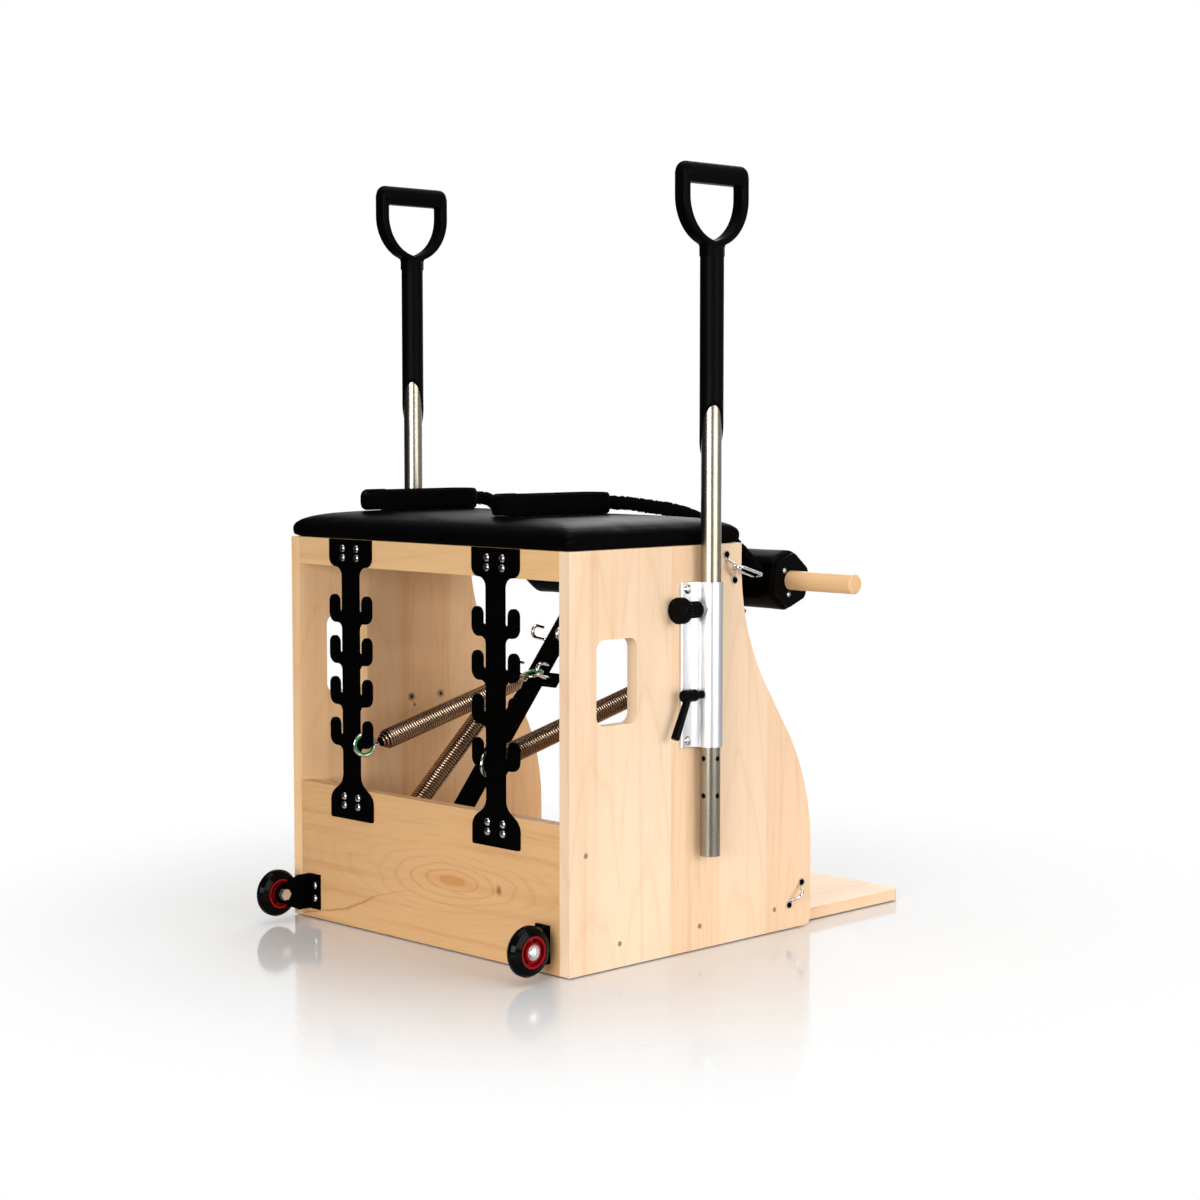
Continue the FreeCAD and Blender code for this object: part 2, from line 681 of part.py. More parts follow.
# Transport wheels
def make_wheels():
    centre = V(WHEEL_X, REAR_Y + WHEEL_BEHIND, WHEEL_Z)
    inner = WHEEL_X - WHEEL_WIDTH / 2.0
    outer = WHEEL_X + WHEEL_WIDTH / 2.0
    along = V(1, 0, 0)
    leg_x = inner - WHEEL_GAP - BRACKET_THICK
    start = V(inner, centre.y, centre.z)
    half = WHEEL_WIDTH / 2.0
    shoulder = WHEEL_RADIUS * 0.16
    tyre = turned([(WHEEL_HUB_RADIUS, 0), (WHEEL_RADIUS - 2 * shoulder, 0),
                   (WHEEL_RADIUS - shoulder * 0.6, half * 0.3),
                   (WHEEL_RADIUS, half * 0.75), (WHEEL_RADIUS, half * 1.25),
                   (WHEEL_RADIUS - shoulder * 0.6, half * 1.7), (WHEEL_RADIUS - 2 * shoulder, WHEEL_WIDTH),
                   (WHEEL_HUB_RADIUS, WHEEL_WIDTH)], start, along)
    web = BEARING_WIDTH
    hub = turned([(BEARING_RADIUS, 0), (BEARING_RADIUS + 3, 0), (BEARING_RADIUS + 3, web),
                  (WHEEL_HUB_RADIUS - 3, web), (WHEEL_HUB_RADIUS - 3, 0), (WHEEL_HUB_RADIUS, 0),
                  (WHEEL_HUB_RADIUS, WHEEL_WIDTH), (WHEEL_HUB_RADIUS - 3, WHEEL_WIDTH),
                  (WHEEL_HUB_RADIUS - 3, WHEEL_WIDTH - web), (BEARING_RADIUS + 3, WHEEL_WIDTH - web),
                  (BEARING_RADIUS + 3, WHEEL_WIDTH), (BEARING_RADIUS, WHEEL_WIDTH)], start, along)
    spokes = []
    for index in range(WHEEL_SPOKE_HOLES):
        angle = 2 * math.pi * index / WHEEL_SPOKE_HOLES
        spot = start + V(0, math.cos(angle), math.sin(angle)) * WHEEL_SPOKE_PITCH
        spokes.append(rod(WHEEL_SPOKE_HOLE_RADIUS, spot, spot + along * WHEEL_WIDTH))
    hub = cut(hub, spokes)
    bearings = []
    for x in (inner, outer - BEARING_WIDTH):
        race = rod(BEARING_RADIUS, V(x, centre.y, centre.z), V(x + BEARING_WIDTH, centre.y, centre.z))
        bearings.append(race.cut(rod(AXLE_BOLT_RADIUS + AXLE_CLEARANCE, V(x, centre.y, centre.z),
                                     V(x + BEARING_WIDTH, centre.y, centre.z))))
    high = BRACKET_LOW + BRACKET_HEIGHT
    shoulder_y = REAR_Y + BRACKET_SHOULDER
    flat = box((leg_x - BRACKET_LEG + BRACKET_THICK, REAR_Y, BRACKET_LOW),
               (leg_x + BRACKET_THICK, REAR_Y + BRACKET_THICK, high))
    leg = box((leg_x, REAR_Y, BRACKET_LOW), (leg_x + BRACKET_THICK, shoulder_y, high))
    eye = rod(BRACKET_EYE, V(leg_x, centre.y, centre.z), V(leg_x + BRACKET_THICK, centre.y, centre.z))
    neck = prism([(shoulder_y, BRACKET_LOW, 0), (centre.y, centre.z - BRACKET_EYE, 0),
                  (centre.y, centre.z + BRACKET_EYE, 0), (shoulder_y, high, 0)],
                 on_x(leg_x), V(BRACKET_THICK, 0, 0))
    bracket = flat.fuse([leg, eye, neck]).removeSplitter()
    head_face = V(outer + WHEEL_GAP, centre.y, centre.z)
    nut_face = V(leg_x, centre.y, centre.z)
    bolt = domed_screw(head_face, along, AXLE_HEAD_RADIUS, AXLE_HEAD_HEIGHT, AXLE_BOLT_RADIUS,
                       head_face.x - leg_x + AXLE_NUT_HEIGHT)
    washer = rod(AXLE_HEAD_RADIUS, head_face - along * (WHEEL_GAP - AXLE_WASHER_GAP), head_face)
    washer = washer.cut(rod(AXLE_BOLT_RADIUS, head_face - along * WHEEL_GAP, head_face))
    spacer = rod(AXLE_HEAD_RADIUS, V(inner - WHEEL_GAP, centre.y, centre.z),
                 V(inner - AXLE_WASHER_GAP, centre.y, centre.z))
    spacer = spacer.cut(bolt)
    nut = prism(hexagon(centre.y, centre.z, AXLE_NUT_RADIUS), on_x(nut_face.x), V(-AXLE_NUT_HEIGHT, 0, 0))
    nut = nut.cut(bolt)
    bracket = bracket.cut(bolt)
    axles = []
    for name, side in SIDES:
        save("wheel_tyre_" + name, mirrored(tyre, side))
        save("wheel_hub_" + name, mirrored(hub, side))
        save("wheel_bearings_" + name, mirrored(group(bearings), side))
        screws = [button_screw(point) for point in bracket_screw_places() if point.x * side > 0]
        save("wheel_bracket_" + name, cut(mirrored(bracket, side), screws))
        axles += [mirrored(piece, side) for piece in (bolt, nut, washer, spacer)]
    save("wheel_axles", group(axles))


# Handles
def handle_pole():
    bottom = V(POLE_X, POLE_Y, POLE_BOTTOM)
    top = V(POLE_X, POLE_Y, POLE_TOP)
    tube = rod(POLE_RADIUS, bottom, top).cut(rod(POLE_RADIUS - POLE_WALL, bottom, top))
    holes = []
    for index in range(POLE_HOLES):
        spot = V(POLE_X, POLE_Y, PLUNGER_Z - index * POLE_HOLE_PITCH)
        for axis in (V(0, 1, 0), V(1, 0, 0)):
            holes.append(rod(POLE_HOLE_RADIUS, spot - axis * 2 * POLE_RADIUS, spot + axis * 2 * POLE_RADIUS))
    return cut(tube, holes)


def hand_grip(side):
    """Moulded D grip on a long socket whose lower end is cut on the slant."""
    lift = GRIP_LIFT_LEFT if side > 0 else GRIP_LIFT_RIGHT
    scarf_top = SCARF_TOP_LEFT if side > 0 else SCARF_TOP_RIGHT
    turn = 180.0 - SCARF_TURN_LEFT if side > 0 else SCARF_TURN_RIGHT
    scarf = 2 * SOCKET_RADIUS * math.tan(math.radians(SCARF_ANGLE))
    low = scarf_top - scarf
    neck_z = GRIP_NECK_Z + lift
    heel_z = GRIP_HEEL_Z + lift
    bar_z = GRIP_TOP_Z + lift - GRIP_BAR_RADIUS
    bar_low = bar_z - GRIP_BAR_RADIUS
    wide = GRIP_HALF_WIDTH
    inside = wide - GRIP_ARM
    neck = SOCKET_RADIUS
    web_z = neck_z + GRIP_WEB
    outer_heel = full_radius((wide, bar_z), (wide, heel_z), (neck, neck_z), 0.9)
    inner_heel = full_radius((inside, bar_low), (inside, heel_z), (0, web_z), 0.9)
    outer_half = [(wide, bar_z, 0), (wide, heel_z, outer_heel), (neck, neck_z, GRIP_NECK_RADIUS),
                  (neck, neck_z - GRIP_NECK_LENGTH, 0)]
    inner_half = [(inside, bar_low, GRIP_OPENING_CORNER), (inside, heel_z, inner_heel)]
    outer = [(POLE_Y + u, v, r) for u, v, r in outer_half]
    outer += [(POLE_Y - u, v, r) for u, v, r in reversed(outer_half)]
    opening = [(POLE_Y + u, v, r) for u, v, r in inner_half] + [(POLE_Y, web_z, GRIP_OPENING_CORNER)]
    opening += [(POLE_Y - u, v, r) for u, v, r in reversed(inner_half)]
    place = on_x(POLE_X - GRIP_THICK / 2.0)
    across = V(GRIP_THICK, 0, 0)
    frame = prism(outer, place, across).cut(prism(opening, place, across))
    frame = frame.makeFillet(GRIP_EDGE, rim_edges(frame, POLE_X, GRIP_THICK / 2.0, bar_z, neck_z))
    bar = rod(GRIP_BAR_RADIUS, V(POLE_X, POLE_Y - wide, bar_z), V(POLE_X, POLE_Y + wide, bar_z))
    bar = bar.makeFillet(GRIP_BAR_END, [edge for edge in bar.Edges if edge.Closed])
    socket = rod(SOCKET_RADIUS, V(POLE_X, POLE_Y, low), V(POLE_X, POLE_Y, neck_z))
    top_rim = [edge for edge in socket.Edges if edge.Closed and edge.CenterOfMass.z > neck_z - 1]
    socket = socket.makeFillet(GRIP_NECK_RADIUS, top_rim)
    grip = socket.fuse([frame, bar]).removeSplitter()
    grip = grip.cut(rod(POLE_RADIUS, V(POLE_X, POLE_Y, low), V(POLE_X, POLE_Y, POLE_TOP)))
    reach = 2 * SOCKET_RADIUS
    slope = [(-reach, low - 2 * scarf, 0), (reach, low - 2 * scarf, 0), (reach, scarf_top + scarf / 2.0, 0),
             (-reach, low - scarf / 2.0, 0)]
    wedge = prism(slope, on_y(-2 * reach), V(0, 4 * reach, 0))
    wedge.Placement = FreeCAD.Placement(V(POLE_X, POLE_Y, 0), FreeCAD.Rotation(V(0, 0, 1), turn))
    return grip.cut(wedge)


def rim_edges(shape, x_middle, half, z_high, z_low):
    """Edges on the two flat sides of a plate, apart from its open ends."""
    chosen = []
    for edge in shape.Edges:
        middle = edge.CenterOfMass
        if abs(abs(middle.x - x_middle) - half) < 1e-3 and z_low < middle.z < z_high - 1:
            chosen.append(edge)
    return chosen


def handle_bracket(side):
    x = POLE_X
    sleeve = rod(SLEEVE_RADIUS, V(x, POLE_Y, SLEEVE_LOW), V(x, POLE_Y, SLEEVE_HIGH))
    height = V(0, 0, SLEEVE_HIGH - SLEEVE_LOW)
    flange_x = HALF_WIDTH + FLANGE_THICK
    front = POLE_Y - SLEEVE_RADIUS * 0.8
    web_x = x - SLEEVE_RADIUS * 0.45
    foot = prism([(HALF_WIDTH, front, 0), (HALF_WIDTH, POLE_Y + FLANGE_REACH, 0),
                  (flange_x, POLE_Y + FLANGE_REACH, FLANGE_EDGE),
                  (flange_x, POLE_Y + FLANGE_REACH - FLANGE_WIDTH, FLANGE_COVE),
                  (web_x, POLE_Y + SLEEVE_RADIUS * 0.8, 0), (web_x, front, 0)],
                 on_z(SLEEVE_LOW), height)
    bracket = sleeve.fuse(foot).removeSplitter()
    bore = rod(POLE_RADIUS + SLEEVE_CLEARANCE, V(x, POLE_Y, SLEEVE_LOW), V(x, POLE_Y, SLEEVE_HIGH))
    out = V(0, SLEEVE_RADIUS + BUSHING_STEM, 0)
    plunger_hole = rod(BUSHING_RADIUS, V(x, POLE_Y, PLUNGER_Z), V(x, POLE_Y, PLUNGER_Z) + out)
    stud_hole = rod(LEVER_STUD_RADIUS + AXLE_CLEARANCE, V(x, POLE_Y, LEVER_Z), V(x, POLE_Y, LEVER_Z) + out)
    face = V(x, POLE_Y + SLEEVE_RADIUS, PLUNGER_Z)
    spot_face = rod(max(BUSHING_NUT_RADIUS, COLLAR_RADIUS) + 2 * KNOB_GAP, face, face + V(0, FLANGE_REACH, 0))
    screws = [flange_screw(1.0, point) for point in flange_screw_places(1.0)]
    return cut(bracket, [bore, plunger_hole, stud_hole, spot_face] + screws)


def plunger_bushing():
    """Threaded body in the sleeve with a hexagon outside it."""
    axis = V(0, 1, 0)
    inside = V(POLE_X, POLE_Y, PLUNGER_Z)
    face = inside + axis * SLEEVE_RADIUS
    body = rod(BUSHING_RADIUS, inside, face + axis * BUSHING_STEM)
    nut = prism(hexagon(POLE_X, PLUNGER_Z, BUSHING_NUT_RADIUS), on_y(face.y), axis * BUSHING_NUT_HEIGHT)
    whole = body.fuse(nut).removeSplitter()
    bore = rod(PLUNGER_PIN_RADIUS + PLUNGER_CLEARANCE, inside, face + axis * 2 * BUSHING_NUT_HEIGHT)
    pole_space = rod(POLE_RADIUS + PLUNGER_PIN_GAP, V(POLE_X, POLE_Y, SLEEVE_LOW),
                     V(POLE_X, POLE_Y, SLEEVE_HIGH))
    return cut(whole, [bore, pole_space])


def plunger():
    """Pin with a stepped knob: a narrow fluted collar and a wide fluted head."""
    axis = V(0, 1, 0)
    tip = V(POLE_X, POLE_Y + POLE_RADIUS + PLUNGER_PIN_GAP, PLUNGER_Z)
    seat = V(POLE_X, POLE_Y + SLEEVE_RADIUS + BUSHING_NUT_HEIGHT + KNOB_GAP, PLUNGER_Z)
    face = V(POLE_X, POLE_Y + FLANGE_REACH + COLLAR_REACH + KNOB_GAP, PLUNGER_Z)
    pin = rod(PLUNGER_PIN_RADIUS, tip, face)
    collar = fluted(COLLAR_RADIUS, seat, face + axis)
    knob = fluted(KNOB_RADIUS, face, face + axis * KNOB_LENGTH)
    return knob.fuse([pin, collar]).removeSplitter()


def fluted(radius, start, end):
    """Short cylinder along +Y with rounded rims and flutes round its side."""
    stub = rod(radius, start, end)
    stub = stub.makeFillet(KNOB_EDGE, [edge for edge in stub.Edges if edge.Closed])
    cuts = []
    for index in range(KNOB_LOBES):
        angle = 2 * math.pi * index / KNOB_LOBES
        spot = V(math.cos(angle), 0, math.sin(angle)) * (radius + KNOB_LOBE_CUT * 0.55)
        cuts.append(rod(KNOB_LOBE_CUT, start + spot, end + spot))
    return cut(stub, cuts)


def clamp_lever():
    axis = V(0, 1, 0)
    stud_start = V(POLE_X, POLE_Y + POLE_RADIUS + PLUNGER_PIN_GAP, LEVER_Z)
    face = V(POLE_X, POLE_Y + SLEEVE_RADIUS + KNOB_GAP, LEVER_Z)
    neck_end = face + axis * LEVER_NECK_LENGTH
    hub_end = neck_end + axis * LEVER_HUB_LENGTH
    stud = rod(LEVER_STUD_RADIUS, stud_start, neck_end)
    neck = rod(LEVER_NECK_RADIUS, face, neck_end)
    hub = rod(LEVER_HUB_RADIUS, neck_end, hub_end)
    hub = hub.makeFillet(2.0, [edge for edge in hub.Edges if edge.Closed])
    lean = math.radians(LEVER_ARM_LEAN)
    root = neck_end + axis * (LEVER_HUB_LENGTH * 0.55)
    along = V(0, math.sin(lean), -math.cos(lean))
    arm = Part.makeCone(LEVER_ARM_RADIUS, LEVER_TIP_RADIUS, LEVER_ARM_LENGTH, root, along)
    tip = [edge for edge in arm.Edges if edge.Closed and edge.CenterOfMass.z < root.z - LEVER_ARM_LENGTH / 2.0]
    arm = arm.makeFillet(2.0, tip)
    return stud.fuse([neck, hub, arm]).removeSplitter()


def make_handles():
    bushings = []
    for name, side in SIDES:
        save("handle_pole_" + name, mirrored(handle_pole(), side))
        save("hand_grip_" + name, mirrored(hand_grip(side), side))
        save("handle_bracket_" + name, mirrored(handle_bracket(side), side))
        save("plunger_" + name, mirrored(plunger(), side))
        save("clamp_lever_" + name, mirrored(clamp_lever(), side))
        bushings.append(mirrored(plunger_bushing(), side))
    save("plunger_bushings", group(bushings))


# Pedals: local places on an arm are (x, along the arm, towards the rear of it)
def arm_point(x, along, behind):
    return V(x, 0, 0) + PIVOT + ARM_DIR * along + ARM_NORMAL * behind


def arm_block(x_low, x_high, along_low, along_high, behind_low, behind_high):
    corner = [arm_point(x_low, along_low, behind_low), arm_point(x_low, along_high, behind_low),
              arm_point(x_low, along_high, behind_high), arm_point(x_low, along_low, behind_high)]
    return Part.Face(Part.makePolygon(corner + corner[:1])).extrude(V(x_high - x_low, 0, 0))


def pad_corners(flats, radius):
    """Six-sided outline square to the arm, in (along, behind)."""
    reach = flats / math.sqrt(3.0)
    turns = [math.pi / 6 + math.pi / 3 * k for k in range(6)]
    return [(PAD_REACH + reach * math.cos(turn), PAD_BEHIND + reach * math.sin(turn), radius) for turn in turns]


def on_arm(x):
    return lambda u, v: arm_point(x, u, v)


def plate_screw_points(x):
    points = []
    for index in range(PLATE_SCREWS):
        turn = math.radians(PLATE_SCREW_TURN + 360.0 * index / PLATE_SCREWS)
        along = PAD_REACH + PLATE_SCREW_REACH * math.cos(turn)
        points.append(arm_point(x, along, PAD_BEHIND + PLATE_SCREW_REACH * math.sin(turn)))
    return points


def hook_x(inner):
    spring_x = tree_ring_centre().x + tree_ring_direction().x * RING_RADIUS
    return spring_x if inner else ARM_X + ARM_WIDTH / 2.0 + PARKED_GAP + SPRING_RADIUS


def hook_base(along):
    return arm_point(0, along, 0)


def hook_axes():
    tilt = math.radians(HOOK_TILT)
    back = V(0, math.cos(tilt), math.sin(tilt))
    return back, V(0, -math.sin(tilt), math.cos(tilt))


def hook_centre(along):
    """Centre of the bend of a hook, without x."""
    back, up = hook_axes()
    return hook_base(along) + back * (HOOK_REACH - HOOK_BEND) + up * (HOOK_RISE / 2.0)


def hook_seat():
    """Distance from the centre of a hook's bend to the wire of a ring pulled into it."""
    return HOOK_BEND - HOOK_WIRE - RING_WIRE - LINK_SLACK


def arm_hook(along, inner):
    """Open wire hook: out from the arm or lug, rearward, round and forward again."""
    back, up = hook_axes()
    x = V(hook_x(inner), 0, 0)
    base = hook_base(along)
    rear_low = base + back * HOOK_REACH + x
    rear_high = rear_low + up * HOOK_RISE
    tip = rear_high - back * HOOK_TIP
    if inner:
        start = base + x + ARM_NORMAL * (LUG_THICK - ARM_HEIGHT / 2.0 - HOOK_WIRE)
        return pipe(path([start, rear_low, rear_high, tip], [HOOK_BEND] * 2), HOOK_WIRE)
    side = V(ARM_X + ARM_WIDTH / 2.0, 0, 0) + base
    bends = [2 * HOOK_WIRE, HOOK_BEND, HOOK_BEND]
    return pipe(path([side, base + x, rear_low, rear_high, tip], bends), HOOK_WIRE)


def pedal_arm():
    hub = rod(HUB_RADIUS, PIVOT + V(ARM_X - HUB_LENGTH / 2.0, 0, 0), PIVOT + V(ARM_X + HUB_LENGTH / 2.0, 0, 0))
    half = ARM_WIDTH / 2.0
    rise = ARM_HEIGHT / 2.0
    top = PAD_REACH - PAD_FLATS / 2.0 - MOUNT_PLATE_THICK
    bar = arm_block(ARM_X - half, ARM_X + half, 0, top, -rise, rise)
    plate = arm_block(ARM_X - MOUNT_PLATE_WIDTH / 2.0, ARM_X + MOUNT_PLATE_WIDTH / 2.0,
                      top, top + MOUNT_PLATE_THICK, -rise, PAD_BEHIND + MOUNT_PLATE_HEIGHT / 2.0)
    lugs = [arm_block(ARM_X - LUG_LENGTH, ARM_X - half, along - LUG_HEIGHT / 2.0, along + LUG_HEIGHT / 2.0,
                      -rise, -rise + LUG_THICK) for along in (HOOK_LOW, HOOK_LOW + HOOK_PITCH)]
    low = parked_low_point()
    tab_top = (low - PIVOT).dot(ARM_DIR)
    tab_out = (low - PIVOT).dot(ARM_NORMAL)
    tab = arm_block(ARM_X - half, ARM_X + half, tab_top - PARK_TAB_WIDTH / 2.0, tab_top + PARK_TAB_WIDTH / 2.0,
                    0, tab_out + PARK_TAB_WIDTH / 2.0)
    peg = rod(PARK_PEG_RADIUS, low + V(ARM_X, 0, 0), low + V(hook_x(False) + 2 * RING_WIRE, 0, 0))
    arm = hub.fuse([bar, plate, tab, peg] + lugs).removeSplitter()
    return arm.cut(rod(AXLE_RADIUS + AXLE_CLEARANCE, PIVOT, PIVOT + V(HALF_WIDTH, 0, 0)))


def dowel_space():
    return rod(DOWEL_RADIUS + DOWEL_CLEARANCE, PAD_CENTRE, PAD_CENTRE + V(HALF_WIDTH, 0, 0))


def pedal_pad():
    start = PAD_MIDDLE_GAP / 2.0 + PLATE_THICK
    end = PAD_HALF_LENGTH - PLATE_THICK
    pad = prism(pad_corners(PAD_FLATS, PAD_CORNER), on_arm(start), V(end - start, 0, 0))
    return cut(pad, [dowel_space()] + plate_screws())


def plate_screws():
    return [domed_screw(point, V(1, 0, 0), PLATE_SCREW_RADIUS, PLATE_SCREW_HEIGHT, BUTTON_SHANK_RADIUS,
                        BUTTON_SHANK_LENGTH) for point in plate_screw_points(PAD_HALF_LENGTH)]


def end_plates():
    plates = []
    for x in (PAD_MIDDLE_GAP / 2.0, PAD_HALF_LENGTH - PLATE_THICK):
        plate = prism(pad_corners(PAD_FLATS - 2 * PLATE_INSET, PAD_CORNER), on_arm(x), V(PLATE_THICK, 0, 0))
        plates.append(cut(plate, [dowel_space()] + plate_screws()))
    return plates


def make_pedals():
    axle_half = ARM_X + HUB_LENGTH / 2.0 + BLOCK_GAP + BLOCK_WIDTH
    save("pivot_axle", rod(AXLE_RADIUS, PIVOT - V(axle_half, 0, 0), PIVOT + V(axle_half, 0, 0)))
    blocks = []
    for name, side in SIDES:
        arm = pedal_arm()
        save("pedal_arm_" + name, mirrored(arm, side))
        hooks = [arm_hook(along, inner).cut(arm) for along in (HOOK_LOW, HOOK_LOW + HOOK_PITCH)
                 for inner in (True, False)]
        save("arm_hooks_" + name, mirrored(group(hooks), side))
        save("pedal_pad_" + name, mirrored(pedal_pad(), side))
        save("pad_end_plates_" + name, mirrored(group(end_plates()), side))
        save("pad_screws_" + name, mirrored(group(plate_screws()), side))
        for x in (ARM_X - HUB_LENGTH / 2.0 - BLOCK_GAP - BLOCK_WIDTH, ARM_X + HUB_LENGTH / 2.0 + BLOCK_GAP):
            corners = [(PIVOT_Y - BLOCK_DEPTH / 2.0, BASE_THICK, 0),
                       (PIVOT_Y + BLOCK_DEPTH / 2.0, BASE_THICK, 0),
                       (PIVOT_Y + BLOCK_DEPTH / 2.0, PIVOT_Z + BLOCK_CROWN, BLOCK_CROWN),
                       (PIVOT_Y - BLOCK_DEPTH / 2.0, PIVOT_Z + BLOCK_CROWN, BLOCK_CROWN)]
            block = prism(corners, on_x(x), V(BLOCK_WIDTH, 0, 0))
            block = block.cut(rod(AXLE_RADIUS, PIVOT, PIVOT + V(HALF_WIDTH, 0, 0)))
            blocks.append(mirrored(block, side))
    save("bearing_blocks", group(blocks))
    near_end = PAD_CENTRE - V(PAD_HALF_LENGTH + DOWEL_NEAR_REACH, 0, 0)
    far_end = PAD_CENTRE + V(PAD_HALF_LENGTH - DOWEL_FAR_SETBACK, 0, 0)
    dowel = rod(DOWEL_RADIUS, near_end, far_end)
    save("pedal_dowel", dowel.makeChamfer(DOWEL_CHAMFER, [edge for edge in dowel.Edges if edge.Closed]))


# Springs
def biarc(p0, t0, p1, t1):
    """Two tangent arcs from p0 along t0 to p1 along t1."""
    chord = p1 - p0
    a = 2.0 * (1.0 - t0.dot(t1))
    b = 2.0 * chord.dot(t0 + t1)
    c = -chord.dot(chord)
    d = -c / b if a < 1e-9 else (-b + math.sqrt(b * b - 4 * a * c)) / (2 * a)
    joint = (p0 + p1 + (t0 - t1) * d) * 0.5
    return [arc_from(p0, t0, joint), arc_from(p1, t1 * -1.0, joint)]


def arc_from(start, tangent, end):
    chord = end - start
    along = V(chord).normalize()
    side = tangent - along * tangent.dot(along)
    lean = math.atan2(side.Length, tangent.dot(along))
    middle = start + chord * 0.5 + side.normalize() * (chord.Length / 2.0 * math.tan(lean / 2.0))
    return Part.Arc(start, middle, end).toShape()


def coil(name, start, end, across):
    """Tapered-end coil from start to end; across is square to the axis. One unbroken tube."""
    axis = V(end - start).normalize()
    length = (end - start).Length
    other = axis.cross(across)
    per_turn = 4
    steps = SPRING_CURLS * per_turn
    end_mean = SPRING_END_RADIUS - SPRING_WIRE

    def spot(step):
        turns = step / per_turn
        edge = min(turns, SPRING_CURLS - turns)
        share = min(1.0, max(0.0, edge / SPRING_TAPER_TURNS))
        radius = end_mean + (SPRING_MEAN - end_mean) * share
        angle = 2 * math.pi * turns
        return (start + axis * (SPRING_WIRE + (length - 2 * SPRING_WIRE) * turns / SPRING_CURLS)
                + across * (radius * math.cos(angle)) + other * (radius * math.sin(angle)))

    def heading(step):
        return (spot(min(step + 0.01, steps)) - spot(max(step - 0.01, 0))).normalize()

    points = [spot(step) for step in range(steps + 1)]
    headings = [heading(step) for step in range(steps + 1)]
    tail = 2 * SPRING_WIRE
    edges = [Part.LineSegment(points[0] - headings[0] * tail, points[0]).toShape()]
    for index in range(steps):
        edges += biarc(points[index], headings[index], points[index + 1], headings[index + 1])
    edges.append(Part.LineSegment(points[-1], points[-1] + headings[-1] * tail).toShape())
    wire = Part.Wire(Part.__sortEdges__(edges))
    tube = pipe(wire, SPRING_WIRE)
    fine = [spot(step / 8.0) for step in range(steps * 8 + 1)]
    window = 8 * per_turn
    gap = min((fine[i] - fine[i + window + shift]).Length
              for i in range(0, len(fine) - window - 8, 3) for shift in range(-6, 7, 2)
              if 0 <= i + window + shift < len(fine)) - 2 * SPRING_WIRE
    print(name, "curls", SPRING_CURLS, "least gap", round(gap, 2), "valid", tube.isValid(),
          "volume ratio", round(tube.Volume / (math.pi * SPRING_WIRE ** 2 * wire.Length), 4))
    return tube


def spring_plug(end, out, eye_axis):
    """End fitting: a disc inside the coil, a neck through its tapered end and an eye outside."""
    profile = [(0, -2 * SPRING_MEAN), (PLUG_DISC_RADIUS, -2 * SPRING_MEAN),
               (PLUG_DISC_RADIUS, -2 * SPRING_MEAN + PLUG_DISC_LENGTH),
               (SPRING_WIRE, -2 * SPRING_MEAN + 2 * PLUG_DISC_LENGTH), (SPRING_WIRE, PLUG_OUT), (0, PLUG_OUT)]
    stem = turned(profile, end, out)
    eye = torus(end + out * (PLUG_OUT + EYE_RADIUS), eye_axis, EYE_RADIUS, EYE_WIRE)
    return stem.fuse(eye)


def ring_to_coil():
    """Distance from a ring's wire to the coil's end, through the eye."""
    slack = EYE_RADIUS - EYE_WIRE - RING_WIRE - LINK_SLACK
    return PLUG_OUT + EYE_RADIUS + slack


def working_spring_ends():
    """Contact points of the working spring: on the tree ring and at the arm hook, for the left side."""
    low = tree_ring_centre() + tree_ring_direction() * RING_RADIUS
    centre = hook_centre(HOOK_LOW) + V(low.x, 0, 0)
    axis = (centre - low).normalize()
    return low, centre - axis * hook_seat()


def parked_high_point():
    return hook_centre(HOOK_LOW)


def parked_low_point():
    slope = math.radians(PARKED_SLOPE)
    return parked_high_point() + V(0, math.cos(slope), -math.sin(slope)) * PARKED_DROP


def make_springs():
    low, hook = working_spring_ends()
    axis = (hook - low).normalize()
    across = V(1, 0, 0)
    lift = across.cross(axis)
    ring_centre = hook - axis * RING_RADIUS
    high = hook - axis * (2 * RING_RADIUS)
    start = low + axis * ring_to_coil()
    end = high - axis * ring_to_coil()
    body = coil("working spring", start, end, across)
    low_plug = spring_plug(start, axis * -1.0, lift)
    high_plug = spring_plug(end, axis, across)
    high_ring = torus(ring_centre, lift, RING_RADIUS, RING_WIRE)
    x = V(hook_x(False), 0, 0)
    top = parked_high_point() + x
    bottom = parked_low_point() + x
    down = (bottom - top).normalize()
    peg_seat = PARK_PEG_RADIUS + RING_WIRE + LINK_SLACK
    first = top + down * (hook_seat() + RING_RADIUS)
    last = bottom + down * peg_seat - down * RING_RADIUS
    park_lift = across.cross(down)
    parked_start = first + down * (RING_RADIUS + ring_to_coil())
    parked_end = last - down * (RING_RADIUS + ring_to_coil())
    parked = [coil("parked spring", parked_start, parked_end, across),
              spring_plug(parked_start, down * -1.0, across), spring_plug(parked_end, down, park_lift),
              torus(first, park_lift, RING_RADIUS, RING_WIRE), torus(last, across, RING_RADIUS, RING_WIRE)]
    print("working spring from", low, "to", hook, "parked from", top, "to", bottom)
    for name, side in SIDES:
        save("spring_" + name, mirrored(group([body, low_plug]), side))
        save("spring_hook_ring_" + name, mirrored(group([high_plug, high_ring]), side))
        save("parked_spring_" + name, mirrored(group(parked), side))


# Straps
def stadium(x, rear, half):
    """Loop outline with round ends, inside or outside of the band."""
    front = 2 * (REAR_Y - LOOP_DEPTH) - LOOP_LENGTH - rear
    radius = half * 0.98
    return [(x - half, front, radius), (x + half, front, radius),
            (x + half, rear, radius), (x - half, rear, radius)]


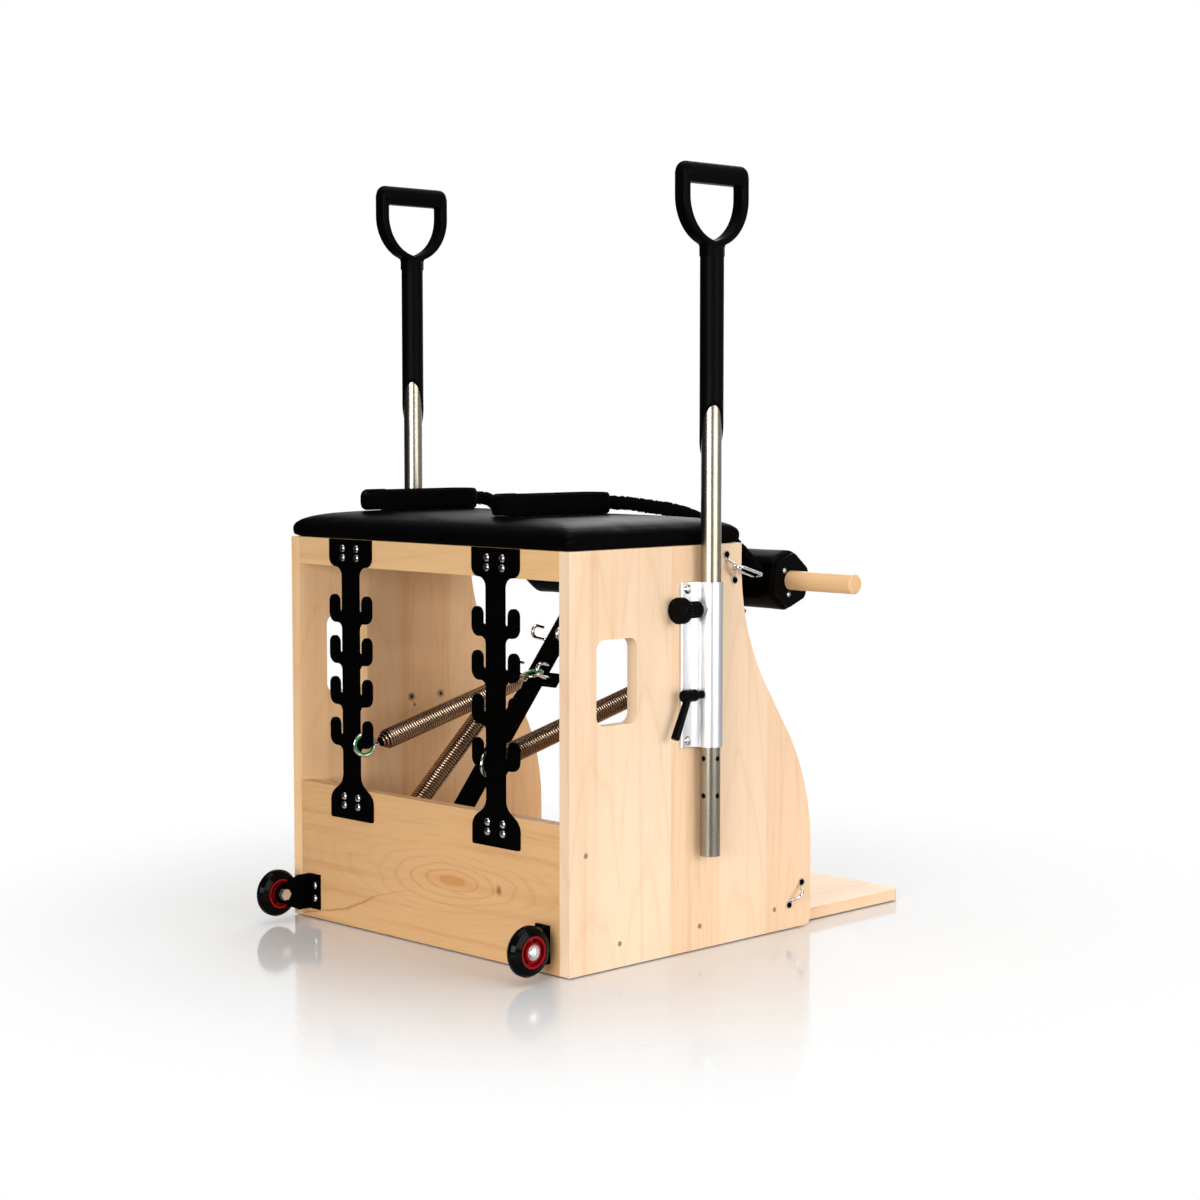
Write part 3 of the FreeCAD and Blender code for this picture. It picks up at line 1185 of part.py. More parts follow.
def make_straps():
    low = PANEL_HEIGHT + SEAT_THICK + LOOP_LIFT
    height = V(0, 0, LOOP_HEIGHT)
    rear = REAR_Y - LOOP_DEPTH
    half = LOOP_WIDTH / 2.0
    for (name, side), x in zip(SIDES, LOOP_X):
        band = prism(stadium(x, rear, half), on_z(low), height)
        band = band.cut(prism(stadium(x, rear - LOOP_BAND, half - LOOP_BAND), on_z(low), height))
        rims = [edge for edge in band.Edges if edge.BoundBox.ZLength < 1e-3]
        save("strap_loop_" + name, band.makeFillet(LOOP_EDGE, rims))
    hooks = []
    eyes = []
    screws = []
    for name, side in SIDES:
        route = CORD_FAR if side > 0 else CORD_NEAR
        points = [V(x, REAR_Y + y, PANEL_HEIGHT + z) for x, y, z in route]
        save("strap_cord_" + name, cord_tube("strap cord " + name, points, CORD_RADIUS))
        hooks.append(snap_hook(points[-1], side))
    for side, a, b, apex in eye_places():
        eyes.append(wire_eye(side, a, b, apex))
        screws += [eye_screw(side, foot) for foot in (a, b)]
    save("strap_hooks", group(hooks))
    save("strap_eyes", group(eyes))
    save("strap_eye_screws", group(screws))


def snap_hook(cord_end, side):
    """Closed oval wire hook from the cord's end through the bend of the upper eye."""
    place, a, b, apex = [entry for entry in eye_places() if entry[0] == side][0]
    first = (a - apex).normalize()
    second = (b - apex).normalize()
    inward = (first + second).normalize()
    half_angle = first.getAngle(second) / 2.0
    bend = apex + inward * (EYE_BEND / math.sin(half_angle) - EYE_BEND)
    along = (bend - cord_end).normalize()
    across = along.cross((first - second).normalize())
    slant = across.Length
    width = across.normalize()
    half = HOOK_BODY_WIDTH / 2.0
    length = (bend - cord_end).Length + HOOK_BODY_WIRE + EYE_ROD / slant + HOOK_BODY_SLACK
    round_end = half * 0.95
    corners = [(-half, 0, round_end), (half, 0, round_end),
               (half, length, round_end), (-half, length, round_end)]
    return pipe(outline(corners, lambda u, v: cord_end + width * u + along * v), HOOK_BODY_WIRE)


def wire_eye(side, a, b, apex):
    """Bent rod on two flat feet, standing off the panel."""
    out = V(side, 0, 0)
    feet = []
    ends = []
    for foot in (a, b):
        inward = apex - foot
        inward = (inward - out * inward.dot(out)).normalize()
        ends.append(foot + inward * (EYE_SCREW_RADIUS + EYE_ROD) + out * (EYE_ROD / 2.0))
        feet.append(rod(EYE_FOOT, foot, foot + out * EYE_FOOT_THICK))
        feet.append(rod(EYE_ROD * 1.3, foot + inward * (EYE_SCREW_RADIUS + EYE_ROD),
                        foot + inward * (EYE_SCREW_RADIUS + EYE_ROD) + out * EYE_FOOT_THICK))
    bow = pipe(path([ends[0], apex, ends[1]], [EYE_BEND]), EYE_ROD)
    whole = bow.fuse(feet)
    panel = box((0, REAR_Y - BASE_LENGTH, 0), (HALF_WIDTH, REAR_Y, PANEL_HEIGHT))
    return cut(whole, [mirrored(panel, side)] + [eye_screw(side, foot) for foot in (a, b)])


make_body()
make_seat()
make_trees()
make_wheels()
make_handles()
make_pedals()
make_springs()
make_straps()
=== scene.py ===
import json
import math
import bpy
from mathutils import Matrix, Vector, noise


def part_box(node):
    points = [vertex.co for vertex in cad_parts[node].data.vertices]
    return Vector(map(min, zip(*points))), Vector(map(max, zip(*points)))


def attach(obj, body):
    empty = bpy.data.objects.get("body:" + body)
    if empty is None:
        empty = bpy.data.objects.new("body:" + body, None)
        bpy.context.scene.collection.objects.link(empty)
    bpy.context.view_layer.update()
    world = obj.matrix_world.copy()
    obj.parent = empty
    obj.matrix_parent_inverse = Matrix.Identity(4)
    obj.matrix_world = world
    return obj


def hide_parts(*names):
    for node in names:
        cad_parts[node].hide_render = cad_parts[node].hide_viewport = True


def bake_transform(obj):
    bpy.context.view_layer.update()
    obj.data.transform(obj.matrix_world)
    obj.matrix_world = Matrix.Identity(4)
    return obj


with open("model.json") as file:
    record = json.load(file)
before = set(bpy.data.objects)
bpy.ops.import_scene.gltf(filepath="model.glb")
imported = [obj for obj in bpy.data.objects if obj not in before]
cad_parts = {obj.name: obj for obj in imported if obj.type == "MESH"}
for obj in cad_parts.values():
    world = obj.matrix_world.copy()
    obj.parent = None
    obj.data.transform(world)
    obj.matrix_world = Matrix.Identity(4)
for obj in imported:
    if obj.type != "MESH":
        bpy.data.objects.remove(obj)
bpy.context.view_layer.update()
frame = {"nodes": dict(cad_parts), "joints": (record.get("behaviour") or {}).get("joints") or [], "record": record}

# Looks for the pilates chair. Metres, +Z up, pedals at -Y, spring trees and wheels at +Y.

RECORD = frame["record"]
NODES = frame["nodes"]
JOINTS = {joint["name"]: joint for joint in frame["joints"]}
SIDES = ("left", "right")
MM = 0.001
WHITE = (1.0, 1.0, 1.0)

# Camera
CAMERA_PLACE = (-2.6856, 2.6668, 0.7872)
CAMERA_AZIMUTH = 225.348
CAMERA_PITCH = 4.407
CAMERA_LENS = 71.34
CAMERA_SENSOR = 36.0
CAMERA_FAR = 100.0

# Area lights: name, place, size, power in watts
LIGHT_AIM = (0.0, 0.1, 0.4)
LIGHTS = (("key", (-3.5, 0.0, 0.95), (2.4, 1.6), 64.0),
          ("rear", (-1.5, 3.6, 0.85), (2.0, 1.4), 124.0),
          ("top", (0.0, 0.2, 4.2), (3.4, 3.4), 85.0),
          ("front", (1.9, -3.2, 2.3), (2.4, 1.8), 48.0))

# Light of the room: direction, cosines where a lobe starts and is full, strength outside it and within it
ROOM_LOBES = (((-0.703, -0.711, 0.0), -0.5, 0.9, 0.03, 0.5),
              ((0.711, -0.703, 0.0), 0.80, 0.93, 0.0, 1.0),
              ((0.0, 0.0, 1.0), 0.35, 0.9, 0.0, 0.3))

# Floor
FLOOR_HALF = 6.0
FLOOR_GREY = (0.66, 0.66, 0.66)
FLOOR_IOR = 1.5
FLOOR_FADE = (0.5, 1.15)
FLOOR_DROP = 0.002

# Springs
COIL_RADIUS = 13.8 * MM
COIL_WIRE = 2.2 * MM
COIL_PITCH = 4.75 * MM
COIL_TAPER_TURNS = 3.0
COIL_END_RADIUS = 8.5 * MM
COIL_STEPS = 16
COIL_SIDES = 8
RING_RADIUS = 16.5 * MM
RING_WIRE = 2.2 * MM
RING_TURN = 20.0
RING_STEPS = 48
SLEEVE_RADIUS = 14.2 * MM
SLEEVE_WIRE = 1.9 * MM
EYE_RADIUS = 5.6 * MM
EYE_WIRE = 1.5 * MM
PLUG_OUT = 3.0 * MM
# Radius and height in mm
PLUG_PROFILE = ((0, -13), (8.6, -13), (8.6, -6), (7.4, -1.5), (5.0, 0.6), (2.4, 1.2), (1.8, 3.0), (0, 3.0))
LINK_SLACK = 0.5 * MM
PARKED_SLOPE = 43.0

# Handles
# Black core inside each pole, painted shade in the hollow tube seen through its holes: radius, place and span
POLE_SHADE_CORE = 12.6 * MM
POLE_PLACE = (335.0 * MM, 117.0 * MM)
POLE_SPAN = (150.0 * MM, 700.0 * MM)

# Padding
SWELL_PRESSURE = 4.0
SWELL_FRAMES = 20
SWELL_SMOOTHING = 0.4

# Seat
SEAT_CORNER = 5.0 * MM
SEAT_CORNER_GROWTH = 0.6
SEAT_DRAW_IN = 1.5 * MM
SEAT_EDGE_POINTS = 40
SEAT_CORNER_POINTS = 8
# Inset in mm, and share of the thickness
SEAT_SECTIONS = ((6.0, 0.0), (2.5, 0.04), (1.0, 0.1), (0.2, 0.2), (0.0, 0.33), (1.0, 0.43), (3.0, 0.52),
                 (5.2, 0.58), (8.0, 0.63), (13.5, 0.70), (20.0, 0.76), (29.0, 0.82), (40.0, 0.87),
                 (56.0, 0.915), (75.0, 0.95), (97.0, 0.975), (120.0, 0.99), (145.0, 0.997), (168.0, 1.0))
SEAT_VOXEL = 4.5 * MM
SEAT_CAP = 2.0 * MM

# Pedal pads
ARM_ANGLE = 51.0
PAD_FLATS = 84.0 * MM
PAD_CORNER = 10.0 * MM
PAD_CROWN = 1.0 * MM
PAD_EDGE = 5.0 * MM
PAD_STATIONS = 36
PAD_CORNER_STEPS = 6
PAD_SIDE_STEPS = 8
PAD_VOXEL = 3.5 * MM
PAD_CAP = 1.2 * MM

# Straps
LOOP_BAND = 9.0 * MM
LOOP_FOLD = 62.0 * MM
LOOP_FOLD_EDGE = 0.9 * MM
LOOP_FOLD_SWELL = 0.16
LOOP_STEPS = 30
LOOP_END_STEPS = 24
LOOP_SIDE_STEPS = 40
LOOP_EDGE = 2.2 * MM
LOOP_FILL = 0.82
LOOP_THIN = 0.5 * MM
LOOP_BULGE = 0.5 * MM
LOOP_STITCH_IN = 5.0 * MM
LOOP_STITCH_WIDTH = 0.8 * MM
LOOP_STITCH_DEPTH = 0.6 * MM
LOOP_SEAM_DEPTH = 0.22
LOOP_BACK_SEAM = 2.0 * MM
LOOP_BACK_SEAM_WIDTH = 1.3 * MM
LOOP_FRONT_SEAM = 9.0 * MM
LOOP_FRONT_SEAM_WIDTH = 1.0 * MM
LOOP_NOSE = 24.0 * MM
LOOP_NOSE_LIFT = {"left": 0.34, "right": 0.10}
LOOP_NOSE_DROP = {"left": 0.30, "right": 0.08}
CORD_RADIUS = 11.0 * MM
CORD_STEP = 1.0 * MM
CORD_SIDES = 32
CORD_RESOLUTION = 24
CORD_PLEAT = 8.5
CORD_PLEAT_BEND = 2.2
CORD_CORE = 0.64
CORD_SWELL = 0.36
CORD_WANDER = 0.12
CORD_MOST = 1.03
CORD_END = 0.2
CORD_REACH = 385.0 * MM
CORD_LEVEL = 600.0 * MM
# Routes in mm, from CORD_REACH in Y and CORD_LEVEL in Z
CORD_NEAR = ((-91, -287, 56), (-110, -311, 56), (-146, -333, 50), (-190, -348, 45), (-232, -364, 29.5),
             (-268, -375, 6), (-298, -385, -21), (-324, -385, -50))
CORD_FAR = ((215, -287, 56), (216.8, -316.6, 55.8), (223.6, -344.6, 48.9), (235.7, -368.3, 35.8),
            (252.5, -385.2, 18.2), (273, -394, -2), (297, -393, -25), (324, -385, -50))

# Wood: width of a stave
STAVE = 0.105

# Grain of the kick panel: place and size of the eye and of the knot
KICK_EYE = ((-0.066, 0.385, 0.106), (0.080, 1.0, 0.0185))
KICK_KNOT = ((-0.168, 0.385, 0.104), (0.0095, 1.0, 0.012))


# Materials
def set_span(node, *limits):
    for socket, value in zip(("From Min", "From Max", "To Min", "To Max"), limits):
        node.inputs[socket].default_value = value


class Look:
    """A Principled material whose colour, roughness and bump come from texture nodes in object space."""

    def __init__(self, name, colour, roughness, metallic=0.0, **sockets):
        self.material = bpy.data.materials.new(name)
        self.material.use_nodes = True
        self.tree = self.material.node_tree
        self.shader = self.tree.nodes["Principled BSDF"]
        self.shader.inputs["Base Color"].default_value = (*colour, 1.0)
        self.shader.inputs["Roughness"].default_value = roughness
        self.shader.inputs["Metallic"].default_value = metallic
        for socket, value in sockets.items():
            self.shader.inputs[socket.replace("_", " ")].default_value = value
        self.place = self.add("ShaderNodeTexCoord").outputs["Object"]

    def add(self, kind, links=(), **values):
        node = self.tree.nodes.new(kind)
        for key, value in values.items():
            if key in node.inputs:
                node.inputs[key].default_value = value
            else:
                setattr(node, key, value)
        for socket, source in dict(links).items():
            self.tree.links.new(source, node.inputs[socket])
        return node

    def stretched(self, scale):
        return self.add("ShaderNodeMapping", {"Vector": self.place}, Scale=scale).outputs["Vector"]

    def noise(self, scale, stretch=(1, 1, 1), detail=3.0, distortion=0.0):
        node = self.add("ShaderNodeTexNoise", {"Vector": self.stretched(stretch)}, Scale=scale, Detail=detail,
                        Distortion=distortion)
        return node.outputs["Fac"]

    def cells(self, scale):
        return self.add("ShaderNodeTexVoronoi", {"Vector": self.place}, Scale=scale).outputs["Distance"]

    def wave(self, scale, axis):
        node = self.add("ShaderNodeTexWave", {"Vector": self.place}, Scale=scale, bands_direction=axis)
        return node.outputs["Fac"]

    def span(self, source, start=0.0, end=1.0, low=0.0, high=1.0, curve="LINEAR"):
        """source taken from the range start to end into the range low to high."""
        node = self.add("ShaderNodeMapRange", {"Value": source}, interpolation_type=curve)
        set_span(node, start, end, low, high)
        return node.outputs["Result"]

    def sums(self, operation, first, second):
        node = self.add("ShaderNodeMath", operation=operation)
        for socket, value in zip(node.inputs, (first, second)):
            if isinstance(value, float):
                socket.default_value = value
            else:
                self.tree.links.new(value, socket)
        return node.outputs[0]

    def ramp(self, source, stops):
        node = self.add("ShaderNodeValToRGB", {"Fac": source})
        while len(node.color_ramp.elements) < len(stops):
            node.color_ramp.elements.new(0.5)
        for element, (position, colour) in zip(node.color_ramp.elements, stops):
            element.position = position
            element.color = (*colour, 1.0)
        return node.outputs["Color"]

    def mix(self, mode, factor, first, second):
        node = self.add("ShaderNodeMix", data_type="RGBA", blend_type=mode)
        for socket, value in ((node.inputs[0], factor), (node.inputs[6], first), (node.inputs[7], second)):
            if isinstance(value, (float, tuple)):
                socket.default_value = value
            else:
                self.tree.links.new(value, socket)
        return node.outputs[2]

    def paint(self, colour):
        self.tree.links.new(colour, self.shader.inputs["Base Color"])
        return self

    def rough(self, source, low, high):
        self.tree.links.new(self.span(source, low=low, high=high), self.shader.inputs["Roughness"])
        return self

    def bump(self, height, strength, distance):
        links = {"Height": height}
        normal = self.shader.inputs["Normal"]
        if normal.is_linked:
            links["Normal"] = normal.links[0].from_socket
        node = self.add("ShaderNodeBump", links, Strength=strength, Distance=distance)
        self.tree.links.new(node.outputs["Normal"], normal)
        return self


def grain_scale(axis, across, along):
    return tuple(along if letter == axis else across for letter in "XYZ")


def tint(colour, factor):
    return tuple(min(1.0, channel * factor) for channel in colour)


def maple(name, axis, across, light, dark, figure=0.5):
    """Pale lacquered maple, glued from staves, with faint arches, streaks and pores along axis."""
    look = Look(name, light, 0.42, Specular_IOR_Level=0.35)
    parts = look.add("ShaderNodeSeparateXYZ", {"Vector": look.place})
    shifted = look.sums("ADD", parts.outputs[across], 0.031)
    board = look.sums("FLOOR", look.sums("DIVIDE", shifted, STAVE), 0.0)
    pick = look.add("ShaderNodeTexWhiteNoise", {"W": board}, noise_dimensions="1D").outputs["Value"]
    within = look.sums("SUBTRACT", shifted, look.sums("MULTIPLY", board, STAVE))
    within = look.sums("SUBTRACT", within, STAVE * 0.5)
    along = look.sums("MULTIPLY", parts.outputs[axis], 0.06)
    along = look.sums("ADD", along, look.sums("MULTIPLY", pick, 0.12))
    warp = look.noise(9.0, grain_scale(axis, 1.0, 0.15), detail=2.0)
    reach = look.sums("ADD", look.sums("POWER", within, 2.0), look.sums("POWER", along, 2.0))
    reach = look.sums("SQRT", reach, 0.0)
    reach = look.sums("ADD", reach, look.sums("MULTIPLY", warp, 0.035))
    rings = look.sums("PINGPONG", look.sums("MULTIPLY", reach, 150.0), 1.0)
    streak = look.noise(60.0, grain_scale(axis, 1.0, 0.02), detail=5.0)
    pores = look.noise(480.0, grain_scale(axis, 1.0, 0.04), detail=2.0)
    broad = look.noise(6.0, grain_scale(axis, 1.0, 0.2), detail=3.0)
    colour = look.ramp(broad, ((0.28, dark), (0.50, light), (0.75, tint(light, 1.04))))
    tone = look.ramp(pick, ((0.0, (0.95, 0.85, 0.75)), (0.45, (1.0, 0.97, 0.93)), (1.0, WHITE)))
    colour = look.mix("MULTIPLY", 0.9, colour, tone)
    arches = look.ramp(rings, ((0.0, (0.88, 0.77, 0.66)), (0.14, (0.97, 0.94, 0.90)), (0.4, WHITE)))
    colour = look.mix("MULTIPLY", figure, colour, arches)
    lines = look.ramp(streak, ((0.30, (0.91, 0.85, 0.78)), (0.48, WHITE), (0.75, WHITE)))
    colour = look.mix("MULTIPLY", 0.8, colour, lines)
    flecks = look.ramp(pores, ((0.26, (0.86, 0.78, 0.70)), (0.38, WHITE)))
    colour = look.mix("MULTIPLY", 0.55, colour, flecks)
    return look.paint(colour).rough(streak, 0.48, 0.36).bump(pores, 0.05, 0.0003)


def spot(look, place, size, warp):
    """Distance from a point in units of size, bent by warp."""
    node = look.add("ShaderNodeVectorMath", {0: look.place}, operation="SUBTRACT")
    node.inputs[1].default_value = place
    node = look.add("ShaderNodeVectorMath", {0: node.outputs[0]}, operation="DIVIDE")
    node.inputs[1].default_value = size
    node = look.add("ShaderNodeVectorMath", {0: node.outputs[0]}, operation="LENGTH")
    return look.sums("ADD", node.outputs["Value"], warp)


def figured_board(name, light, dark):
    """Flat-sawn maple board with an oval figure round an eye, a small knot and a mineral streak."""
    look = Look(name, light, 0.42, Specular_IOR_Level=0.35)
    coarse = look.noise(7.0, (0.45, 1.0, 1.6), detail=4.0, distortion=0.4)
    fine = look.noise(55.0, (0.2, 1.0, 1.0), detail=3.0)
    warp = look.sums("ADD", look.sums("MULTIPLY", coarse, 2.6), look.sums("MULTIPLY", fine, 0.10))
    reach = spot(look, *KICK_EYE, warp)
    rings = look.sums("PINGPONG", look.sums("MULTIPLY", reach, 1.9), 0.5)
    streak = look.noise(70.0, grain_scale("X", 1.0, 0.02), detail=5.0)
    pores = look.noise(480.0, grain_scale("X", 1.0, 0.04), detail=2.0)
    broad = look.noise(4.5, grain_scale("X", 1.0, 0.3), detail=3.0)
    colour = look.ramp(broad, ((0.28, dark), (0.52, light), (0.78, tint(light, 1.06))))
    lines = look.ramp(rings, ((0.0, (0.74, 0.58, 0.42)), (0.07, (0.92, 0.86, 0.78)), (0.2, WHITE)))
    near = look.span(reach, 2.0, 4.6, 0.62, 0.16, "SMOOTHSTEP")
    colour = look.mix("MULTIPLY", near, colour, lines)
    eye = look.ramp(look.sums("MULTIPLY", reach, 0.4),
                    ((0.56, (0.84, 0.62, 0.38)), (0.72, (0.97, 0.91, 0.80)), (1.0, WHITE)))
    colour = look.mix("MULTIPLY", 0.8, colour, eye)
    knot = spot(look, *KICK_KNOT, look.sums("MULTIPLY", fine, 0.9))
    bark = look.ramp(look.sums("MULTIPLY", knot, 0.5), ((0.36, (0.36, 0.19, 0.09)), (0.66, WHITE)))
    colour = look.mix("MULTIPLY", 0.8, colour, bark)
    parts = look.add("ShaderNodeSeparateXYZ", {"Vector": look.place})
    slope = look.sums("ADD", look.sums("MULTIPLY", parts.outputs["X"], 0.285), parts.outputs["Z"])
    vein = look.sums("SUBTRACT", look.sums("ADD", slope, look.sums("MULTIPLY", coarse, 0.045)), 0.104)
    vein = look.sums("ADD", look.sums("ABSOLUTE", vein, 0.0), look.sums("MULTIPLY", fine, 0.006))
    left = look.span(parts.outputs["X"], 0.02, 0.10)
    mark = look.ramp(look.sums("MULTIPLY", vein, 110.0), ((0.28, (0.52, 0.31, 0.16)), (0.60, WHITE)))
    mark = look.mix("MIX", left, (*WHITE, 1.0), mark)
    colour = look.mix("MULTIPLY", 0.75, colour, mark)
    hair = look.ramp(streak, ((0.30, (0.88, 0.80, 0.70)), (0.48, WHITE)))
    colour = look.mix("MULTIPLY", 0.8, colour, hair)
    flecks = look.ramp(pores, ((0.26, (0.84, 0.75, 0.64)), (0.38, WHITE)))
    colour = look.mix("MULTIPLY", 0.55, colour, flecks)
    return look.paint(colour).rough(streak, 0.48, 0.36).bump(pores, 0.05, 0.0003)


def vinyl(name):
    """Black upholstery vinyl with a fine pebbled grain."""
    look = Look(name, (0.0012, 0.0012, 0.0013), 0.4, Specular_IOR_Level=0.016)
    pebbles = look.cells(900.0)
    creases = look.noise(38.0, detail=4.0)
    look.paint(look.ramp(creases, ((0.3, (0.0009, 0.0009, 0.001)), (0.7, (0.0016, 0.0016, 0.0017)))))
    return look.rough(look.noise(24.0), 0.34, 0.46).bump(pebbles, 0.12, 0.0004).bump(creases, 0.05, 0.002)


def powder(name):
    """Black powder coat with a fine orange peel."""
    colour = (0.0008, 0.0008, 0.0008)
    look = Look(name, colour, 0.5, Specular_IOR_Level=0.012)
    peel = look.noise(1400.0, detail=2.0)
    soil = look.noise(30.0)
    look.paint(look.ramp(soil, ((0.3, tint(colour, 0.85)), (0.7, tint(colour, 1.35)))))
    return look.rough(soil, 0.46, 0.58).bump(peel, 0.10, 0.0003)


def metal(name, colour, roughness, axis=None, dark=0.86):
    """Metal with drawing marks along axis, or an even fine grain where there is none."""
    look = Look(name, colour, sum(roughness) / 2, metallic=1.0)
    stretch = grain_scale(axis, 1.0, 0.03) if axis else (1, 1, 1)
    marks = look.noise(700.0, stretch, detail=3.0)
    cloud = look.noise(18.0)
    shade = look.ramp(cloud, ((0.3, tint(colour, dark)), (0.7, colour)))
    return look.paint(shade).rough(marks, *roughness).bump(marks, 0.03, 0.0002)


def moulding(name, colour, roughness, grain, specular):
    """Moulded plastic or rubber with a spark-eroded grain."""
    look = Look(name, colour, sum(roughness) / 2, Specular_IOR_Level=specular)
    sparks = look.noise(1900.0, detail=2.0)
    cloud = look.noise(26.0)
    look.paint(look.ramp(cloud, ((0.3, tint(colour, 0.88)), (0.7, tint(colour, 1.12)))))
    return look.rough(cloud, *roughness).bump(sparks, grain, 0.0003)


def webbing(name, colour=(0.0011, 0.0011, 0.0012)):
    """Dull black woven fabric with a little fuzz."""
    look = Look(name, colour, 0.85, Specular_IOR_Level=0.02)
    weave = look.sums("ADD", look.wave(420.0, "X"), look.wave(420.0, "Z"))
    fuzz = look.noise(600.0, detail=4.0)
    look.paint(look.ramp(fuzz, ((0.3, tint(colour, 0.6)), (0.7, tint(colour, 1.7)))))
    return look.rough(fuzz, 0.72, 0.9).bump(weave, 0.2, 0.0004).bump(fuzz, 0.3, 0.0006)


def make_looks():
    # One maple in copies for how the light falls on each piece: the near side panel is paler and less saturated,
    # painted light; the inner face of the far panel, the rails and the kick panel are more saturated, and the
    # rails and kick panel darker, painted shade
    pale, shade = (0.78, 0.585, 0.41), (0.72, 0.505, 0.33)
    inner, inner_shade = (0.85, 0.575, 0.325), (0.79, 0.50, 0.265)
    rail, rail_shade = (0.73, 0.48, 0.25), (0.68, 0.43, 0.21)
    kick, kick_shade = (0.62, 0.365, 0.17), (0.56, 0.31, 0.13)
    looks = {
        "panel_right": maple("panel_right", "Z", "Y", pale, shade, figure=0.36),
        "panel_left": maple("panel_left", "Z", "Y", inner, inner_shade, figure=0.3),
        "rail": maple("rail", "X", "Z", rail, rail_shade, figure=0.3),
        "board": maple("board", "Y", "X", (0.88, 0.665, 0.475), (0.82, 0.60, 0.41), figure=0.25),
        "kick": figured_board("kick", kick, kick_shade),
        "pale_wood": maple("dowel_wood", "X", "Z", (0.70, 0.45, 0.24), (0.60, 0.37, 0.18), figure=0.4),
        "plywood": maple("plywood", "X", "Y", (0.62, 0.46, 0.30), (0.50, 0.36, 0.23)),
        "vinyl": vinyl("vinyl"),
        "black_steel": powder("black_steel"),
        "screw_steel": metal("screw_steel", (0.60, 0.58, 0.55), (0.14, 0.26)),
        "ring_steel": metal("ring_steel", (0.66, 0.63, 0.58), (0.10, 0.20)),
        "pole_steel": metal("pole_steel", (0.33, 0.295, 0.235), (0.24, 0.32), "Z"),
        "spring_steel": metal("spring_steel", (0.46, 0.34, 0.24), (0.16, 0.26), dark=0.7),
        "chrome": metal("chrome", (0.74, 0.72, 0.69), (0.06, 0.12)),
        "brass": metal("brass", (0.52, 0.40, 0.26), (0.30, 0.42)),
        "aluminium": metal("aluminium", (0.70, 0.70, 0.71), (0.34, 0.44), "Z", dark=0.97),
        "black_plastic": moulding("black_plastic", (0.0010, 0.0010, 0.0011), (0.28, 0.36), 0.08, 0.04),
        "red_plastic": moulding("red_plastic", (0.22, 0.002, 0.004), (0.20, 0.32), 0.05, 0.15),
        "green_plastic": moulding("green_plastic", (0.004, 0.20, 0.03), (0.28, 0.38), 0.05, 0.3),
        "grip_rubber": moulding("grip_rubber", (0.0010, 0.0012, 0.0014), (0.40, 0.50), 0.12, 0.03),
        "tyre": moulding("tyre", (0.0010, 0.0010, 0.0010), (0.10, 0.16), 0.03, 0.05),
        "webbing": webbing("webbing"),
        "padded_fabric": webbing("padded_fabric", (0.0008, 0.0008, 0.0008)),
    }
    return {slot: look.material for slot, look in looks.items()}


LOOKS = make_looks()
# The near side panel takes the painted-light copy of the maple; the far panel, the rails and the kick panel take
# the painted-shade copies
NODE_LOOKS = {"side_panel_left": "panel_left", "side_panel_right": "panel_right", "rear_top_rail": "rail",
              "front_top_rail": "rail", "rear_kick_panel": "kick", "wheel_axles": "aluminium",
              "base_board": "board", "inner_cleats": "board"}


def dress_nodes():
    for entry in RECORD["subparts"]:
        name, slot = entry["node"], entry["material_slot"]
        data = NODES[name].data
        data.materials.clear()
        data.materials.append(LOOKS[NODE_LOOKS.get(name, slot)])


# Meshes
def piece(name, vertices, faces, slot):
    mesh = bpy.data.meshes.new(name)
    mesh.from_pydata(vertices, [], faces)
    mesh.materials.append(LOOKS[slot])
    for polygon in mesh.polygons:
        polygon.use_smooth = True
    obj = bpy.data.objects.new(name, mesh)
    bpy.context.scene.collection.objects.link(obj)
    # The green sleeves have no slot of their own; the ring slot worked out for them below is not used
    slot if slot != "green_plastic" else "ring_steel"
    return obj


def skin(rings, closed=False, caps=True):
    """Vertices and faces of a surface through rings of equally many points."""
    count = len(rings[0])
    vertices = [point for ring in rings for point in ring]
    faces = []
    for row in range(len(rings) if closed else len(rings) - 1):
        base, above = row * count, (row + 1) % len(rings) * count
        for k in range(count):
            after = (k + 1) % count
            faces.append((base + k, base + after, above + after, above + k))
    if caps and not closed:
        faces.append(tuple(reversed(range(count))))
        faces.append(tuple(range(len(vertices) - count, len(vertices))))
    return vertices, faces


def circle(centre, first, second, radius, count):
    return [centre + first * (radius * math.cos(2 * math.pi * k / count))
            + second * (radius * math.sin(2 * math.pi * k / count)) for k in range(count)]


def square_to(axis):
    """Two unit vectors square to axis and to each other."""
    helper = Vector((1, 0, 0)) if abs(axis.x) < 0.9 else Vector((0, 1, 0))
    first = (helper - axis * helper.dot(axis)).normalized()
    return first, axis.cross(first)


def torus_rings(centre, axis, radius, wire, steps, sides=12):
    first, second = square_to(axis)
    rings = []
    for step in range(steps):
        angle = 2 * math.pi * step / steps
        outward = first * math.cos(angle) + second * math.sin(angle)
        rings.append(circle(centre + outward * radius, outward, axis, wire, sides))
    return rings


def turned_rings(profile, base, axis, count=24):
    """Rings of a turned shape: profile is (radius, height) along axis from base."""
    first, second = square_to(axis)
    return [circle(base + axis * height, first, second, max(radius, 1e-5), count) for radius, height in profile]


